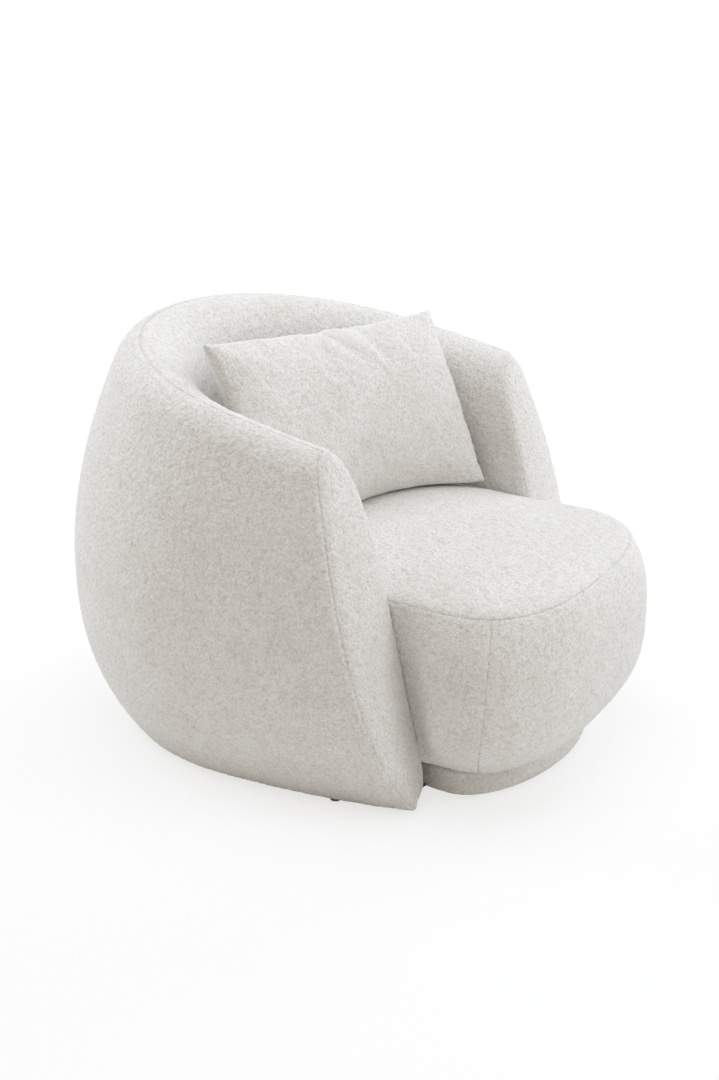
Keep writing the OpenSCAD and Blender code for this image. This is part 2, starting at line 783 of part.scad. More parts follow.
// Bolts: the outer ones join battens and rail, the inner ones join battens and seat
bolt_r = 4;
head_r = 8;
head_h = 5;
bolt_clear = 0.3;
outer_bolts = [for (i = [0:1]) for (s = [-1, 1]) [s * (bearer_reach[i] - bearer_w / 2), bearer_ys[i]]];
inner_bolts = [for (i = [0:1]) for (s = [-1, 1]) [s * bearer_reach[i] / 2, bearer_ys[i]]];
module bolt_holes() {
    for (p = outer_bolts)
        translate([p[0], p[1], rail_low - over])
            cylinder(r = bolt_r + bolt_clear, h = seat_foot_h - rail_low + over, $fn = 24);
    for (p = inner_bolts)
        translate([p[0], p[1], rail_high - over])
            cylinder(r = bolt_r + bolt_clear, h = board_high - rail_high + 2 * over, $fn = 24);
}
module frame_bolts() {
    color(steel_colour) {
        for (p = outer_bolts)
            translate([p[0], p[1], 0]) {
                translate([0, 0, rail_low + over])
                    cylinder(r = bolt_r, h = seat_foot_h - rail_low - 2 * over, $fn = 24);
                translate([0, 0, rail_low - head_h])
                    cylinder(r = head_r, h = head_h, $fn = 6);
                translate([0, 0, rail_low])
                    cylinder(r = bolt_r, h = over, $fn = 24);
            }
        for (p = inner_bolts)
            translate([p[0], p[1], 0]) {
                translate([0, 0, rail_high])
                    cylinder(r = bolt_r, h = board_high - rail_high, $fn = 24);
                translate([0, 0, board_high])
                    cylinder(r = head_r, h = head_h, $fn = 6);
            }
    }
}

// Plinth under the front of the seat
plinth_half = plinth_w / 2;
plinth_wall_t = 15;
plinth_ring_w = 60;
plinth_lift = 9;
ring_points = 56;
function plinth_outline(d) =
    [for (i = [0:ring_points - 1])
        let (a = 360 * i / ring_points,
            run = cos(a) > 0 ? plinth_run : plinth_back_run)
        [(plinth_half - d) * spow(sin(a), 2 / plinth_power),
            seat_y - (run - d) * spow(cos(a), 2 / plinth_power)]];
module plinth_band(low, high, from, to) {
    translate([0, 0, low])
        linear_extrude(high - low)
            difference() {
                polygon(plinth_outline(from));
                polygon(plinth_outline(to));
            }
}
plinth_board_depth = cloth_t + lay_gap;
module plinth_cover() {
    color(cloth_colour)
        plinth_band(plinth_lift, seat_foot_h - lay_gap, 0, cloth_t);
}
module plinth_wall() {
    color(ply_colour)
        plinth_band(rail_high, seat_foot_h, plinth_board_depth, plinth_board_depth + plinth_wall_t);
}
module plinth_base_ring() {
    color(ply_colour)
        difference() {
            plinth_band(rail_low, rail_high, plinth_board_depth, plinth_board_depth + plinth_ring_w);
            glide_holes();
        }
}

// Cloth that closes the underside between rail and plinth
dust_t = 1;
module dust_cloth() {
    color(web_colour)
        difference() {
            translate([0, 0, rail_low - dust_t])
                linear_extrude(dust_t)
                    difference() {
                        polygon(concat([for (u = stations(pad_stations)) rail_point(u, rail_edge + rail_tip_w / 2)],
                            [[0, seat_y]]));
                        polygon(plinth_outline(-over));
                    }
            for (p = shell_glides)
                translate([p[0], p[1], 0])
                    cylinder(r = glide_r + over, h = rail_low + over, $fn = 32);
            for (p = outer_bolts)
                translate([p[0], p[1], 0])
                    cylinder(r = head_r + over, h = rail_low + over, $fn = 32);
        }
}

// Nail-in glides
glide_r = 9;
stem_r = 3;
stem_h = 10;
glide_inset = rail_edge + rail_tip_w / 2;
glide_stations_share = [-0.92, -0.46, 0, 0.46, 0.92];
shell_glides = [for (u = glide_stations_share) rail_point(u, glide_inset)];
plinth_glide_inset = plinth_board_depth + plinth_ring_w / 2;
plinth_glides = [for (a = [0, 72, 144, 216, 288])
    let (run = cos(a) > 0 ? plinth_run : plinth_back_run)
    [(plinth_half - plinth_glide_inset) * spow(sin(a), 2 / plinth_power),
        seat_y - (run - plinth_glide_inset) * spow(cos(a), 2 / plinth_power)]];
module glide_holes() {
    for (p = concat(shell_glides, plinth_glides))
        translate([p[0], p[1], rail_low - over])
            cylinder(r = stem_r + bolt_clear, h = stem_h + 2 * over, $fn = 24);
}
module glides() {
    color(plastic_colour)
        for (p = concat(shell_glides, plinth_glides))
            translate([p[0], p[1], 0]) {
                cylinder(r = glide_r, h = glide_h, $fn = 32);
                translate([0, 0, glide_h])
                    cylinder(r = stem_r, h = stem_h, $fn = 24);
            }
}

// Loose cushion, drawn upright about the middle of its lower corner line and then leaned and turned
cushion_edge_t = 6;
cushion_cols = 14;
cushion_rows = 12;
cushion_slump = 24;
cushion_tip = 35;
cushion_flat_power = 4;
top_sag_share = 0.35;
puff_power = 2.2;
puff_share = 0.55;
thin_share = 0.6;
corner_y = back_y - cushion_back;
rest_gap = 0.3;
function puff(v) = pow(clamp01(1 - pow(abs(v), puff_power)), puff_share);
function cushion_point(a, b, side, d) =
    let (w = cushion_w / 2 - d,
        h = cushion_h / 2 - d,
        x = a * (w - cushion_side_draw * (1 - pow(abs(b), cushion_flat_power))),
        z = b * (h - cushion_draw * (1 - pow(abs(a), cushion_flat_power))),
        rise = (b + 1) / 2,
        t = cushion_edge_t / 2 + (cushion_t - cushion_edge_t) / 2 * puff(a) * puff(b) - d * thin_share,
        sag = cushion_sag * mix(1, top_sag_share, rise) * (1 - a * a))
    [x - cushion_slump * (rise - 1 / 2), side * t + sag * cos(cushion_lean),
        cushion_h / 2 + z - rise * a * cushion_tip / 2 + sag * sin(cushion_lean)];
function spread(n) = [for (i = [0:n]) -cos(180 * i / n)];

// The cushion settles on the crown of the seat: the height of its corners leaves rest_gap at the
// closest place between the two
dome_half_y = seat_centre_y - seat_front_y;
round_power = 2.4;
function dome_at(x, y) =
    let (k = pow(pow(abs(x) / seat_half, round_power)
            + pow(abs(y - seat_centre_y) / dome_half_y, round_power), 1 / round_power))
    seam_h + crown_h * (1 - pow(k, dome_power));
function cushion_turned(p) =
    let (y = p[1] * cos(cushion_lean) + p[2] * sin(cushion_lean),
        z = p[2] * cos(cushion_lean) - p[1] * sin(cushion_lean))
    [p[0] * cos(cushion_turn) + y * sin(cushion_turn) - cushion_shift,
        y * cos(cushion_turn) - p[0] * sin(cushion_turn) + corner_y, z];
cushion_z = rest_gap + max([for (side = [-1, 1]) for (row = cushion_sheet(side, 0)) for (p = row)
    let (q = cushion_turned(p))
    dome_at(q[0], q[1]) - q[2]]);
module cushion_place() {
    translate([-cushion_shift, corner_y, cushion_z])
        rotate([0, 0, -cushion_turn])
            rotate([-cushion_lean, 0, 0])
                children();
}

// Closed pillow form, d inside its outer face: rings run round the edge and in over both faces
function cushion_sheet(side, d) =
    [for (b = spread(cushion_rows)) [for (a = spread(cushion_cols)) cushion_point(a, b, side, d)]];
module pillow(d) {
    n = cushion_cols + 1;
    m = cushion_rows + 1;
    front = [for (r = cushion_sheet(-1, d)) each r];
    back = [for (r = cushion_sheet(1, d)) each r];
    cells = [for (j = [0:m - 2]) for (i = [0:n - 2]) j * n + i];
    loop = concat([for (i = [0:n - 2]) i], [for (j = [0:m - 2]) j * n + n - 1],
        [for (i = [n - 1:-1:1]) (m - 1) * n + i], [for (j = [m - 1:-1:1]) j * n]);
    count = len(loop);
    far = n * m;
    polyhedron(concat(front, back),
        concat([for (c = cells) for (f = [[c, c + n + 1, c + 1], [c, c + n, c + n + 1]]) f],
            [for (c = cells) for (f = [[c, c + 1, c + n + 1], [c, c + n + 1, c + n]]) [for (v = f) v + far]],
            [for (k = [0:count - 1])
                let (p = loop[k],
                    q = loop[(k + 1) % count])
                for (f = [[p, q, q + far], [p, q + far, p + far]]) f]));
}
module cushion_cover() {
    color(cloth_colour)
        cushion_place()
            difference() {
                pillow(0);
                pillow(cushion_cloth_t);
            }
}
cushion_cloth_t = 4;
module cushion_filling() {
    color([0.97, 0.97, 0.97])
        cushion_place()
            pillow(cushion_cloth_t + lay_gap);
}

// Zip along the left edge of the cushion
zip_length = 150;
zip_drop = 22;
zip_w = 5;
zip_t = 1.5;
slider_l = 12;
slider_t = 3;
zip_end_share = 2 * (zip_drop + zip_length / 2) / cushion_h;
zip_x = -cushion_w / 2 + cushion_side_draw * (1 - pow(zip_end_share, cushion_flat_power));
zip_lean = atan(cushion_slump / (cushion_h + cushion_tip / 2));
module zip_place() {
    cushion_place()
        translate([zip_x, 0, cushion_h / 2 + cushion_tip / 4])
            rotate([0, -zip_lean, 0])
                translate([0, 0, -zip_drop])
                    children();
}
module zip_tape() {
    color(plastic_colour)
        zip_place()
            translate([-zip_t - 2 * lay_gap, -zip_w / 2, -zip_length / 2])
                cube([zip_t, zip_w, zip_length]);
}
module zip_slider() {
    color(steel_colour)
        zip_place()
            translate([-zip_t - slider_t - 3 * lay_gap, -zip_w / 2, -zip_length / 2])
                cube([slider_t, zip_w, slider_l]);
}

shell_cover_outside();
shell_cover_inside();
arm_band_left();
arm_band_right();
outer_pad();
inner_pad();
crest_roll();
arm_pad_left();
arm_pad_right();
backing_cloth();
inner_lining();
top_rail();
bottom_rail();
arm_board_left();
arm_board_right();
upright_back();
upright_back_left();
upright_back_right();
upright_corner_left();
upright_corner_right();
upright_side_left();
upright_side_right();
seat_cover_top();
seat_band_left();
seat_band_front();
seat_band_right();
seat_topper();
seat_core();
seat_side_pad();
seat_frame_ring();
webbing_lengthways();
webbing_crossways();
seat_base_board();
seat_bearers();
plinth_base_ring();
plinth_wall();
plinth_cover();
dust_cloth();
glides();
frame_bolts();
cushion_cover();
cushion_filling();
zip_tape();
zip_slider();
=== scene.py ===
# %% [markdown]
# # A tub chair in looped cloth
# The chair is a barrel-shaped shell that wraps round a deep seat on a low plinth, with one loose
# cushion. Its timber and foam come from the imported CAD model, which stays where it is. This lesson
# dresses that model: each soft piece is worked out again as a fine surface, gets the curly pile of
# its cloth as real relief, and hides the plain CAD solid that it stands for.

# %% Load the fixed frame
import json
import math

import bmesh
import bpy
import numpy as np
from mathutils import Matrix, Vector


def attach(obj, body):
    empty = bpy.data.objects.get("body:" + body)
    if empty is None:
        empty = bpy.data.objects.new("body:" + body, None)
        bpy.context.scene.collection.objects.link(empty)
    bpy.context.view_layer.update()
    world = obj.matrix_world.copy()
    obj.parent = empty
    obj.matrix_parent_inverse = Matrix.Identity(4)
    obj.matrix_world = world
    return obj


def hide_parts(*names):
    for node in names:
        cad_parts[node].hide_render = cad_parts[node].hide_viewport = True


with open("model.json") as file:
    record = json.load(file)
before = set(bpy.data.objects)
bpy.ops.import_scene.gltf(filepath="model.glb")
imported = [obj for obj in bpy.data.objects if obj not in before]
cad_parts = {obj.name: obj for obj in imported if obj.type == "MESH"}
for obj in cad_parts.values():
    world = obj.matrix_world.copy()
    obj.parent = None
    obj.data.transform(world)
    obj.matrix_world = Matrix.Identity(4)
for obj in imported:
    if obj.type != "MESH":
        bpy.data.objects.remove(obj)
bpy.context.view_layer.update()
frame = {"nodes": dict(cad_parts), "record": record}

# %% [markdown]
# ## Sizes
# All the soft pieces follow the same few shape functions as the CAD source, so the sizes are
# repeated here in metres. The front of the seat looks towards -Y.

# %% Sizes of the shell and the seat
CHAIR_W, CHAIR_D, BACK_H, ARM_H, WIDEST_H = 0.915, 1.042, 0.730, 0.624, 0.313
BACK_RUN, SIDE_RUN, PLAN_POWER = 0.459, 0.895, 2.02
RIM_LEAN, RIM_POWER, FOOT_TUCK, FOOT_POWER = 0.113, 1.82, 0.096, 2.57
HEM_H, ARM_FOOT_BACK, ARM_TOP_BACK, ARM_BOW = 0.008, 0.223, 0.377, 0.010
ARM_T, BACK_T, FOOT_T, CREST_R = 0.153, 0.200, 0.012, 0.028
INNER_POWER, INNER_AHEAD, CREST_SPAN = 2.2, 0.031, 0.028 * 1.4
CLOTH_T, FRONT_PAD_T, BAND_GAP, SLIT = 0.005, 0.020, 0.0009, 0.0004
SEAT_W, SEAT_RUN, SEAT_POWER, SEAM_H, CROWN_H = 0.640, 0.202, 2.7, 0.367, 0.038
SEAT_FOOT_H, SEAM_DRAW, SEAM_POWER, FOOT_DRAW, DRAW_POWER = 0.061, 0.037, 2.6, 0.072, 3.4
SEAT_GAP, NECK_BACK, REAR_SHARE, DOME_POWER = 0.002, 0.010, 0.97, 2.5
HALF_W, BACK_Y, FRONT_Y = CHAIR_W / 2, CHAIR_D / 2, -CHAIR_D / 2
MID_Y = BACK_Y - BACK_RUN
PAD_BACK = CLOTH_T + FRONT_PAD_T + BAND_GAP
FOOT_Y, TOP_Y = FRONT_Y + ARM_FOOT_BACK, FRONT_Y + ARM_TOP_BACK
SEAT_Y = FRONT_Y + SEAT_RUN
WIDEST_SEAT_H = SEAT_FOOT_H + 0.53 * (SEAM_H - SEAT_FOOT_H)

# Distance between neighbouring points of the cloth's relief
PILE_STEP = 0.0028
print("relief every", 1000 * PILE_STEP, "mm")

# %% [markdown]
# ## Shape functions
# The plan of the shell is half a rounded oval, wide at the back and straight along the arms. Each
# height has its own share of the full plan, which gives the barrel. The functions below take whole
# arrays, so one call works out every point of a surface.

# %% Shape functions of the shell
def signed_power(v, p):
    """Power of the size of v, with the sign of v kept."""
    return np.sign(v) * np.abs(v) ** p


def mix(a, b, k):
    """The value that lies share k of the way from a to b."""
    return a + (b - a) * k


def smooth(v):
    """S-shaped step from 0 to 1: 3k^2 - 2k^3 with k held between 0 and 1."""
    k = np.clip(v, 0, 1)
    return k * k * (3 - 2 * k)


def hill(v, spread):
    """A soft hill of height 1 round v = 0: exp(-(v / spread)^2)."""
    return np.exp(-((v / spread) ** 2))


def narrowing(z):
    """Share of the full plan at height z: 1 less a power of the distance from the widest height."""
    up = np.clip((z - WIDEST_H) / (BACK_H - WIDEST_H), 0, None) ** RIM_POWER
    down = np.clip((WIDEST_H - z) / WIDEST_H, 0, None) ** FOOT_POWER
    return 1 - (RIM_LEAN * up + FOOT_TUCK * down) / HALF_W


def edge_y(z, back):
    """The slanted front line of the arms, moved back, with its slight bow forward."""
    k = z / ARM_H
    bow = ARM_BOW * 4 * k * (1 - k) * np.clip(1 - back / PAD_BACK, 0, None)
    return mix(FOOT_Y, TOP_Y, k) + back - bow


def plan_point(u, z, inset, y):
    """Point of the plan oval at station u, from -1 at the left arm to 1 at the right arm.

    The angle a runs to the place where the oval meets the front edge at y. The oval is
    x = half width * sin(a)^(2/n) and y = run * cos(a)^(2/n), and inset is measured inwards
    along its normal.
    """
    f = narrowing(z)
    limit = math.pi / 2 + np.arcsin(signed_power((MID_Y - y) / (SIDE_RUN * f), PLAN_POWER / 2))
    s, c = (signed_power(v, 2 / PLAN_POWER) for v in (np.sin(u * limit), np.cos(u * limit)))
    run = np.where(c > 0, BACK_RUN, SIDE_RUN)
    nx = signed_power(s, PLAN_POWER - 1) / HALF_W
    ny = signed_power(c, PLAN_POWER - 1) / run
    length = np.sqrt(nx * nx + ny * ny)
    return HALF_W * f * s - inset * nx / length, MID_Y + run * f * c - inset * ny / length


RIM_BACK_Y = MID_Y + BACK_RUN * float(narrowing(np.array(BACK_H)))
RIM_FRONT_Y = float(edge_y(np.array(ARM_H), 0.0))
RIM_SLOPE = (BACK_H - ARM_H) / (RIM_BACK_Y - RIM_FRONT_Y)


def rim_at(u, back):
    """Height of the rim at station u: it lies in one plane that rises towards the back."""
    z = np.full(np.shape(u), ARM_H)
    for _ in range(5):
        z = ARM_H + (plan_point(u, z, 0.0, edge_y(z, back))[1] - RIM_FRONT_Y) * RIM_SLOPE
    return z


def wall(u, s, side, d=0.0, back=0.0):
    """Point of the shell at share s of its height, on its outer (1) or inner (-1) face, d deep.

    The wall is thin at the hem, thickest at mid height, and rolls over at the crest.
    """
    u, s = np.broadcast_arrays(np.asarray(u, float), np.asarray(s, float))
    h = rim_at(u, back) - HEM_H
    z = HEM_H + s * (h - d)
    q = np.clip((s - 1) * h / CREST_SPAN + 1, 0, 1)
    turn = np.sqrt(1 - q * q)
    full = np.sqrt(np.clip(1 - np.abs(2 * s - 1) ** INNER_POWER, 0, 1))
    if side > 0:
        inset, ahead = CREST_R * (1 - turn) + d * turn, 0.0
    else:
        thickest = mix(ARM_T, BACK_T, smooth(2 * (1 - np.abs(u))))
        inset = mix(mix(FOOT_T, CREST_R, s), thickest, full) + SLIT - d * turn
        ahead = INNER_AHEAD * full
    x, y = plan_point(u, z, inset, edge_y(z, back))
    return np.stack([x, y - ahead, z], -1)


def wall_at_height(u, z, side, d=0.0, back=0.0):
    """The same point, found by its height z."""
    return wall(u, (z - HEM_H) / (rim_at(u, back) - HEM_H - d), side, d, back)


print("rim from", round(ARM_H, 3), "at the arms to", BACK_H, "at the back")

# %% [markdown]
# ## Mesh helpers
# A cover is a closed skin: a fine face that shows and a coarse lining inside. Both are grids with
# the same number of columns, so their long edges join with plain quads, and the short ends are
# closed with triangles. A closed skin has a signed volume, and when that is negative all its faces
# are turned round, so the faces always point outwards.

# %% Evenly spaced lines
def even_share(points):
    """Share of its whole length at which each point of a line lies."""
    run = np.concatenate([[0], np.cumsum(np.linalg.norm(np.diff(points, axis=0), axis=1))])
    return run / run[-1]


def evened(function, low, high, step, trial=400):
    """Parameters between low and high that put the points of function evenly, about step apart."""
    t = np.linspace(low, high, trial)
    points = function(t)
    length = np.linalg.norm(np.diff(points, axis=0), axis=1).sum()
    steps = max(4, int(round(length / step)))
    return np.interp(np.linspace(0, 1, steps + 1), even_share(points), t)


# %% Faces of grids and closed skins
def grid_quads(rows, columns, first=0, wrap=False):
    """Quads of a grid whose points are numbered row by row."""
    r = np.arange(rows - 1)[:, None] * columns
    c = np.arange(columns if wrap else columns - 1)[None, :]
    n = (c + 1) % columns
    return np.stack([r + c, r + n, r + columns + n, r + columns + c], -1).reshape(-1, 4) + first


def zipped(fine, coarse):
    """Triangles between a line of many points and a line of fewer that runs beside it."""
    last = len(coarse) - 1
    k = np.minimum(np.arange(len(fine)) * last // max(1, len(fine) - 1), last)
    k[-1] = last
    first = np.stack([fine[:-1], fine[1:], coarse[k[:-1]]], -1)
    change = np.nonzero(k[1:] != k[:-1])[0]
    second = np.stack([fine[change + 1], coarse[k[change + 1]], coarse[k[change]]], -1)
    return np.concatenate([first, second])


def skin_faces(rows, columns, inner_rows, wrap=False):
    """Faces of a closed skin: the fine grid, the coarse grid behind it and the edges between."""
    start = rows * columns
    back = grid_quads(inner_rows, columns, start, wrap)[:, ::-1]
    c = np.arange(columns if wrap else columns - 1)
    n = (c + 1) % columns
    top_f, top_b = (rows - 1) * columns, start + (inner_rows - 1) * columns
    top = np.stack([top_f + c, top_f + n, top_b + n, top_b + c], -1)
    low = np.stack([c, start + c, start + n, n], -1)
    quads = np.concatenate([grid_quads(rows, columns, 0, wrap), back, top, low])
    if wrap:
        return quads, np.zeros((0, 3), int)
    f = np.arange(rows) * columns
    b = start + np.arange(inner_rows) * columns
    return quads, np.concatenate([zipped(f, b), zipped(f + columns - 1, b + columns - 1)[:, ::-1]])


def normals_of(grid, wrap=False):
    """Unit normals of a grid: the cross product of its row and column directions."""
    across = (np.roll(grid, -1, 1) - np.roll(grid, 1, 1)) if wrap else np.gradient(grid, axis=1)
    n = np.cross(across, np.gradient(grid, axis=0))
    return n / np.maximum(np.linalg.norm(n, axis=-1, keepdims=True), 1e-12)


# %% New pieces
def signed_volume(points, triangles):
    """Volume inside the faces, as a sum of tetrahedra from the origin."""
    a, b, c = (points[triangles[:, i]] for i in range(3))
    return float(np.einsum("ij,ij->i", a, np.cross(b, c)).sum() / 6)


def linked(name, mesh):
    """A new object with that mesh, in the scene."""
    piece = bpy.data.objects.new(name, mesh)
    bpy.context.scene.collection.objects.link(piece)
    return piece


def new_mesh(name, points, quads, triangles=(), smooth_faces=None):
    """A mesh object from arrays, with faces that point outwards.

    The first smooth_faces quads are shaded smoothly and the rest flat, so an edge stays clean; all
    are smooth when it is None.
    """
    points = np.asarray(points, np.float32).reshape(-1, 3)
    quads = np.asarray(quads, np.int32).reshape(-1, 4)
    triangles = np.asarray(triangles, np.int32).reshape(-1, 3)
    split = np.concatenate([quads[:, [0, 1, 2]], quads[:, [0, 2, 3]], triangles])
    if signed_volume(points.astype(float) - points.mean(0), split) < 0:
        quads, triangles = quads[:, ::-1], triangles[:, ::-1]
    mesh = bpy.data.meshes.new(name)
    mesh.vertices.add(len(points))
    mesh.vertices.foreach_set("co", points.ravel())
    loops = np.concatenate([quads.ravel(), triangles.ravel()])
    mesh.loops.add(len(loops))
    mesh.loops.foreach_set("vertex_index", loops)
    count = len(quads) + len(triangles)
    sides = np.repeat([4, 3], [len(quads), len(triangles)])
    mesh.polygons.add(count)
    mesh.polygons.foreach_set("loop_start", (np.cumsum(sides) - sides).astype(np.int32))
    mesh.polygons.foreach_set("use_smooth", np.arange(count) < (smooth_faces or count))
    mesh.update(calc_edges=True)
    mesh.validate()
    return linked(name, mesh)


def skin_mesh(name, face, lining, wrap=False, smooth_faces=None):
    """A closed skin from the grid that shows and the coarser lining behind it."""
    quads, ends = skin_faces(*face.shape[:2], len(lining), wrap)
    points = np.concatenate([face.reshape(-1, 3), lining.reshape(-1, 3)])
    return new_mesh(name, points, quads, ends, smooth_faces)


def add_values(piece, name, values):
    """A number for every point, which a material reads by its name."""
    attribute = piece.data.attributes.new(name, "FLOAT", "POINT")
    attribute.data.foreach_set("value", np.asarray(values, np.float32).ravel())


def dress(piece, material, body, node_name):
    """Gives a piece its finish and its body, and hides the CAD node that it stands for."""
    piece.data.materials.append(material)
    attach(piece, body)
    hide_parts(node_name)
    print(piece.name, len(piece.data.polygons), "faces")
    return piece


# %% [markdown]
# ## The pile
# The cloth is woven from a yarn with small curls, so its face is a bed of soft knobs some four
# millimetres apart. Knobs of that size break up the outline and catch the light, so they are real
# relief and not only a bump in the material. The height is smooth noise from a table of random
# numbers, read at the place of each point in space, which lets the pile run over every seam. The
# twist of the yarn is finer than the mesh and is left to the material's bump.

# %% Height of the pile at points in space
NOISE_SIZE = 64
KNOB, CURL, CLUMP, PILE_HIGH = 0.0040, 0.0028, 0.012, 0.0012
noise_table = np.random.default_rng(7).random((NOISE_SIZE,) * 3).astype(np.float32)


def smooth_noise(points, cell, shift=0.0):
    """Noise from -1 to 1: the eight table values round each point, blended with smooth weights."""
    p = np.asarray(points, np.float64) / cell + shift
    low = np.floor(p).astype(np.int64)
    w = p - low
    w = w * w * (3 - 2 * w)
    total = np.zeros(p.shape[:-1])
    for corner in range(8):
        bits = [(corner >> k) & 1 for k in range(3)]
        index = tuple((low[..., k] + bits[k]) % NOISE_SIZE for k in range(3))
        weight = np.ones(p.shape[:-1])
        for k in range(3):
            weight = weight * (w[..., k] if bits[k] else 1 - w[..., k])
        total += weight * noise_table[index]
    return 2 * total - 1


def pile_height(points):
    """Relief of the looped pile from -1 to 1: bent knobs, smaller curls and slow unevenness.

    Each noise is read with a shift of its own, so that they don't repeat one another.
    """
    bend = np.stack([smooth_noise(points, 2.3 * KNOB, k + 0.37) for k in range(3)], -1)
    bent = points + 0.55 * KNOB * bend
    knobs = smooth_noise(bent, KNOB, 11.3)
    curls = smooth_noise(bent, CURL, 27.9)
    clumps = smooth_noise(points, CLUMP, 5.1)
    return np.clip(0.7 * knobs + 0.5 * curls + 0.22 * clumps, -1, 1)


print("pile", 1000 * PILE_HIGH, "mm high, knobs", 1000 * KNOB, "mm apart")

# %% [markdown]
# ## The cloth's finish
# Looped wool cloth is matte, and its stray fibres brighten it where it turns away. The colour
# follows the
# relief: its hollows, its seams and the gaps between its small loops carry painted shade, darker and
# a little warmer than its knobs. A sheen layer stands for the fibres, and a fine bump adds the
# yarn's twist.

# %% Shader node helpers
def feed(tree, socket, value):
    """Sets a socket to a value, or links it where the value is another node's output."""
    if isinstance(value, bpy.types.NodeSocket):
        tree.links.new(value, socket)
    else:
        socket.default_value = value


def node(tree, kind, settings=(), **sockets):
    """A new shader node with its settings made and its sockets fed."""
    made = tree.nodes.new("ShaderNode" + kind)
    for key, value in dict(settings).items():
        setattr(made, key, value)
    for key, value in sockets.items():
        feed(tree, made.inputs[key.replace("_", " ")], value)
    return made


def maths(tree, operation, *values, kind="Math", out="Value"):
    """What a math node makes of its values in their order."""
    made = node(tree, kind, {"operation": operation})
    for socket, value in zip(made.inputs, values):
        feed(tree, socket, value)
    return made.outputs[out]


def ramp(tree, source, *stops):
    """Colours at (place, colour) stops along the values of source."""
    made = node(tree, "ValToRGB", Fac=source)
    elements = made.color_ramp.elements
    while len(elements) < len(stops):
        elements.new(0.5)
    for element, (place, colour) in zip(elements, stops):
        element.position, element.color = place, (*colour, 1)
    return made.outputs["Color"]


def times(tree, first, second, share=1.0):
    """The product of two colours, mixed in by share."""
    settings = {"data_type": "RGBA", "blend_type": "MULTIPLY"}
    return node(tree, "Mix", settings, Factor=share, A=first, B=second).outputs["Result"]


def object_place(tree):
    """The place of each point on its piece."""
    return node(tree, "TexCoord").outputs["Object"]


def noise_of(tree, place, scale, detail, roughness=0.5):
    """Soft noise from 0 to 1, with scale spots a metre."""
    made = node(tree, "TexNoise", Vector=place, Scale=scale, Detail=detail, Roughness=roughness)
    return made.outputs["Fac"]


def fresh_material(name, roughness):
    """A node material, its node tree and its main shader."""
    material = bpy.data.materials.new(name)
    material.use_nodes = True
    shader = material.node_tree.nodes["Principled BSDF"]
    shader.inputs["Roughness"].default_value = roughness
    return material, material.node_tree, shader


def finish(tree, shader, colour, height, strength, relief):
    """Gives the shader its colour, and a bump that follows height."""
    feed(tree, shader.inputs["Base Color"], colour)
    bump = node(tree, "Bump", Strength=strength, Distance=relief, Height=height)
    feed(tree, shader.inputs["Normal"], bump.outputs["Normal"])


# %% Looped cloth
# How far the loops wander from their cells, the yarn's share in their height, and that height
LOOP_WANDER, YARN_SHARE, LOOP_RELIEF = 0.0042, 0.35, 0.0014


def looped_cloth():
    """Off-white looped cloth: painted shade from the mesh's relief, then small loops as cells with
    painted shade between them, then the yarn.
    """
    material, tree, shader = fresh_material("looped_cloth", 0.95)
    place = object_place(tree)
    pile = node(tree, "Attribute", {"attribute_name": "pile"}).outputs["Fac"]
    wander = node(tree, "TexNoise", Vector=place, Scale=240.0, Detail=1.0).outputs["Color"]
    pushed = maths(tree, "MULTIPLY_ADD", wander, (LOOP_WANDER,) * 3, place, kind="VectorMath",
                   out="Vector")
    cells = node(tree, "TexVoronoi", Vector=pushed, Scale=250.0, Randomness=1.0).outputs["Distance"]
    # painted shade: darker and warmer where the pile value is low, in the hollows of the relief and
    # in the seam grooves
    painted_hollow_shade = ramp(tree, pile, (0.05, (0.76, 0.732, 0.70)), (0.45, (0.865, 0.853, 0.84)),
                   (0.9, (0.915, 0.91, 0.905)))
    tone = ramp(tree, noise_of(tree, place, 14.0, 2.0), (0.35, (0.97, 0.965, 0.955)),
                (0.65, (1, 1, 1)))
    # painted shade between the small loops: darker and warmer towards the edges of the cells
    painted_gap_shade = ramp(tree, cells, (0.20, (1, 1, 1)), (0.55, (0.90, 0.885, 0.86)),
                (0.85, (0.82, 0.795, 0.755)))
    yarn = noise_of(tree, place, 620.0, 3.0, 0.65)
    height = maths(tree, "MULTIPLY_ADD", yarn, YARN_SHARE, maths(tree, "SUBTRACT", 1.0, cells))
    colour = times(tree, times(tree, painted_hollow_shade, tone), painted_gap_shade)
    finish(tree, shader, colour, height, 0.75, LOOP_RELIEF)
    shader.inputs["Sheen Weight"].default_value = 0.35
    shader.inputs["Sheen Roughness"].default_value = 0.45
    shader.inputs["Specular IOR Level"].default_value = 0.2
    return material


cloth = looped_cloth()
print("cloth finish with", len(cloth.node_tree.nodes), "nodes")

# %% [markdown]
# ## Shell covers
# The outside cover runs from the hem to the top of the crest, where the inside cover begins. Each
# is a grid: one direction goes round the plan, the other climbs the wall. Both are spaced evenly on
# the middle line of the cover, so the pile has the same grain all over. At a seam the stitches pull
# the cloth in, and it dips in a soft groove.

# %% A cover with pile, seams and lining
SEAM_DEEP, LINING_ROWS = 0.0030, 14
RIM_UP = np.array([0, -RIM_SLOPE, 1]) / math.hypot(1, RIM_SLOPE)


def seam_groove(distance, depth=0.0011, width=0.0024):
    """How far a cover dips at a seam: a hill of that depth and width."""
    return depth * hill(distance, width)


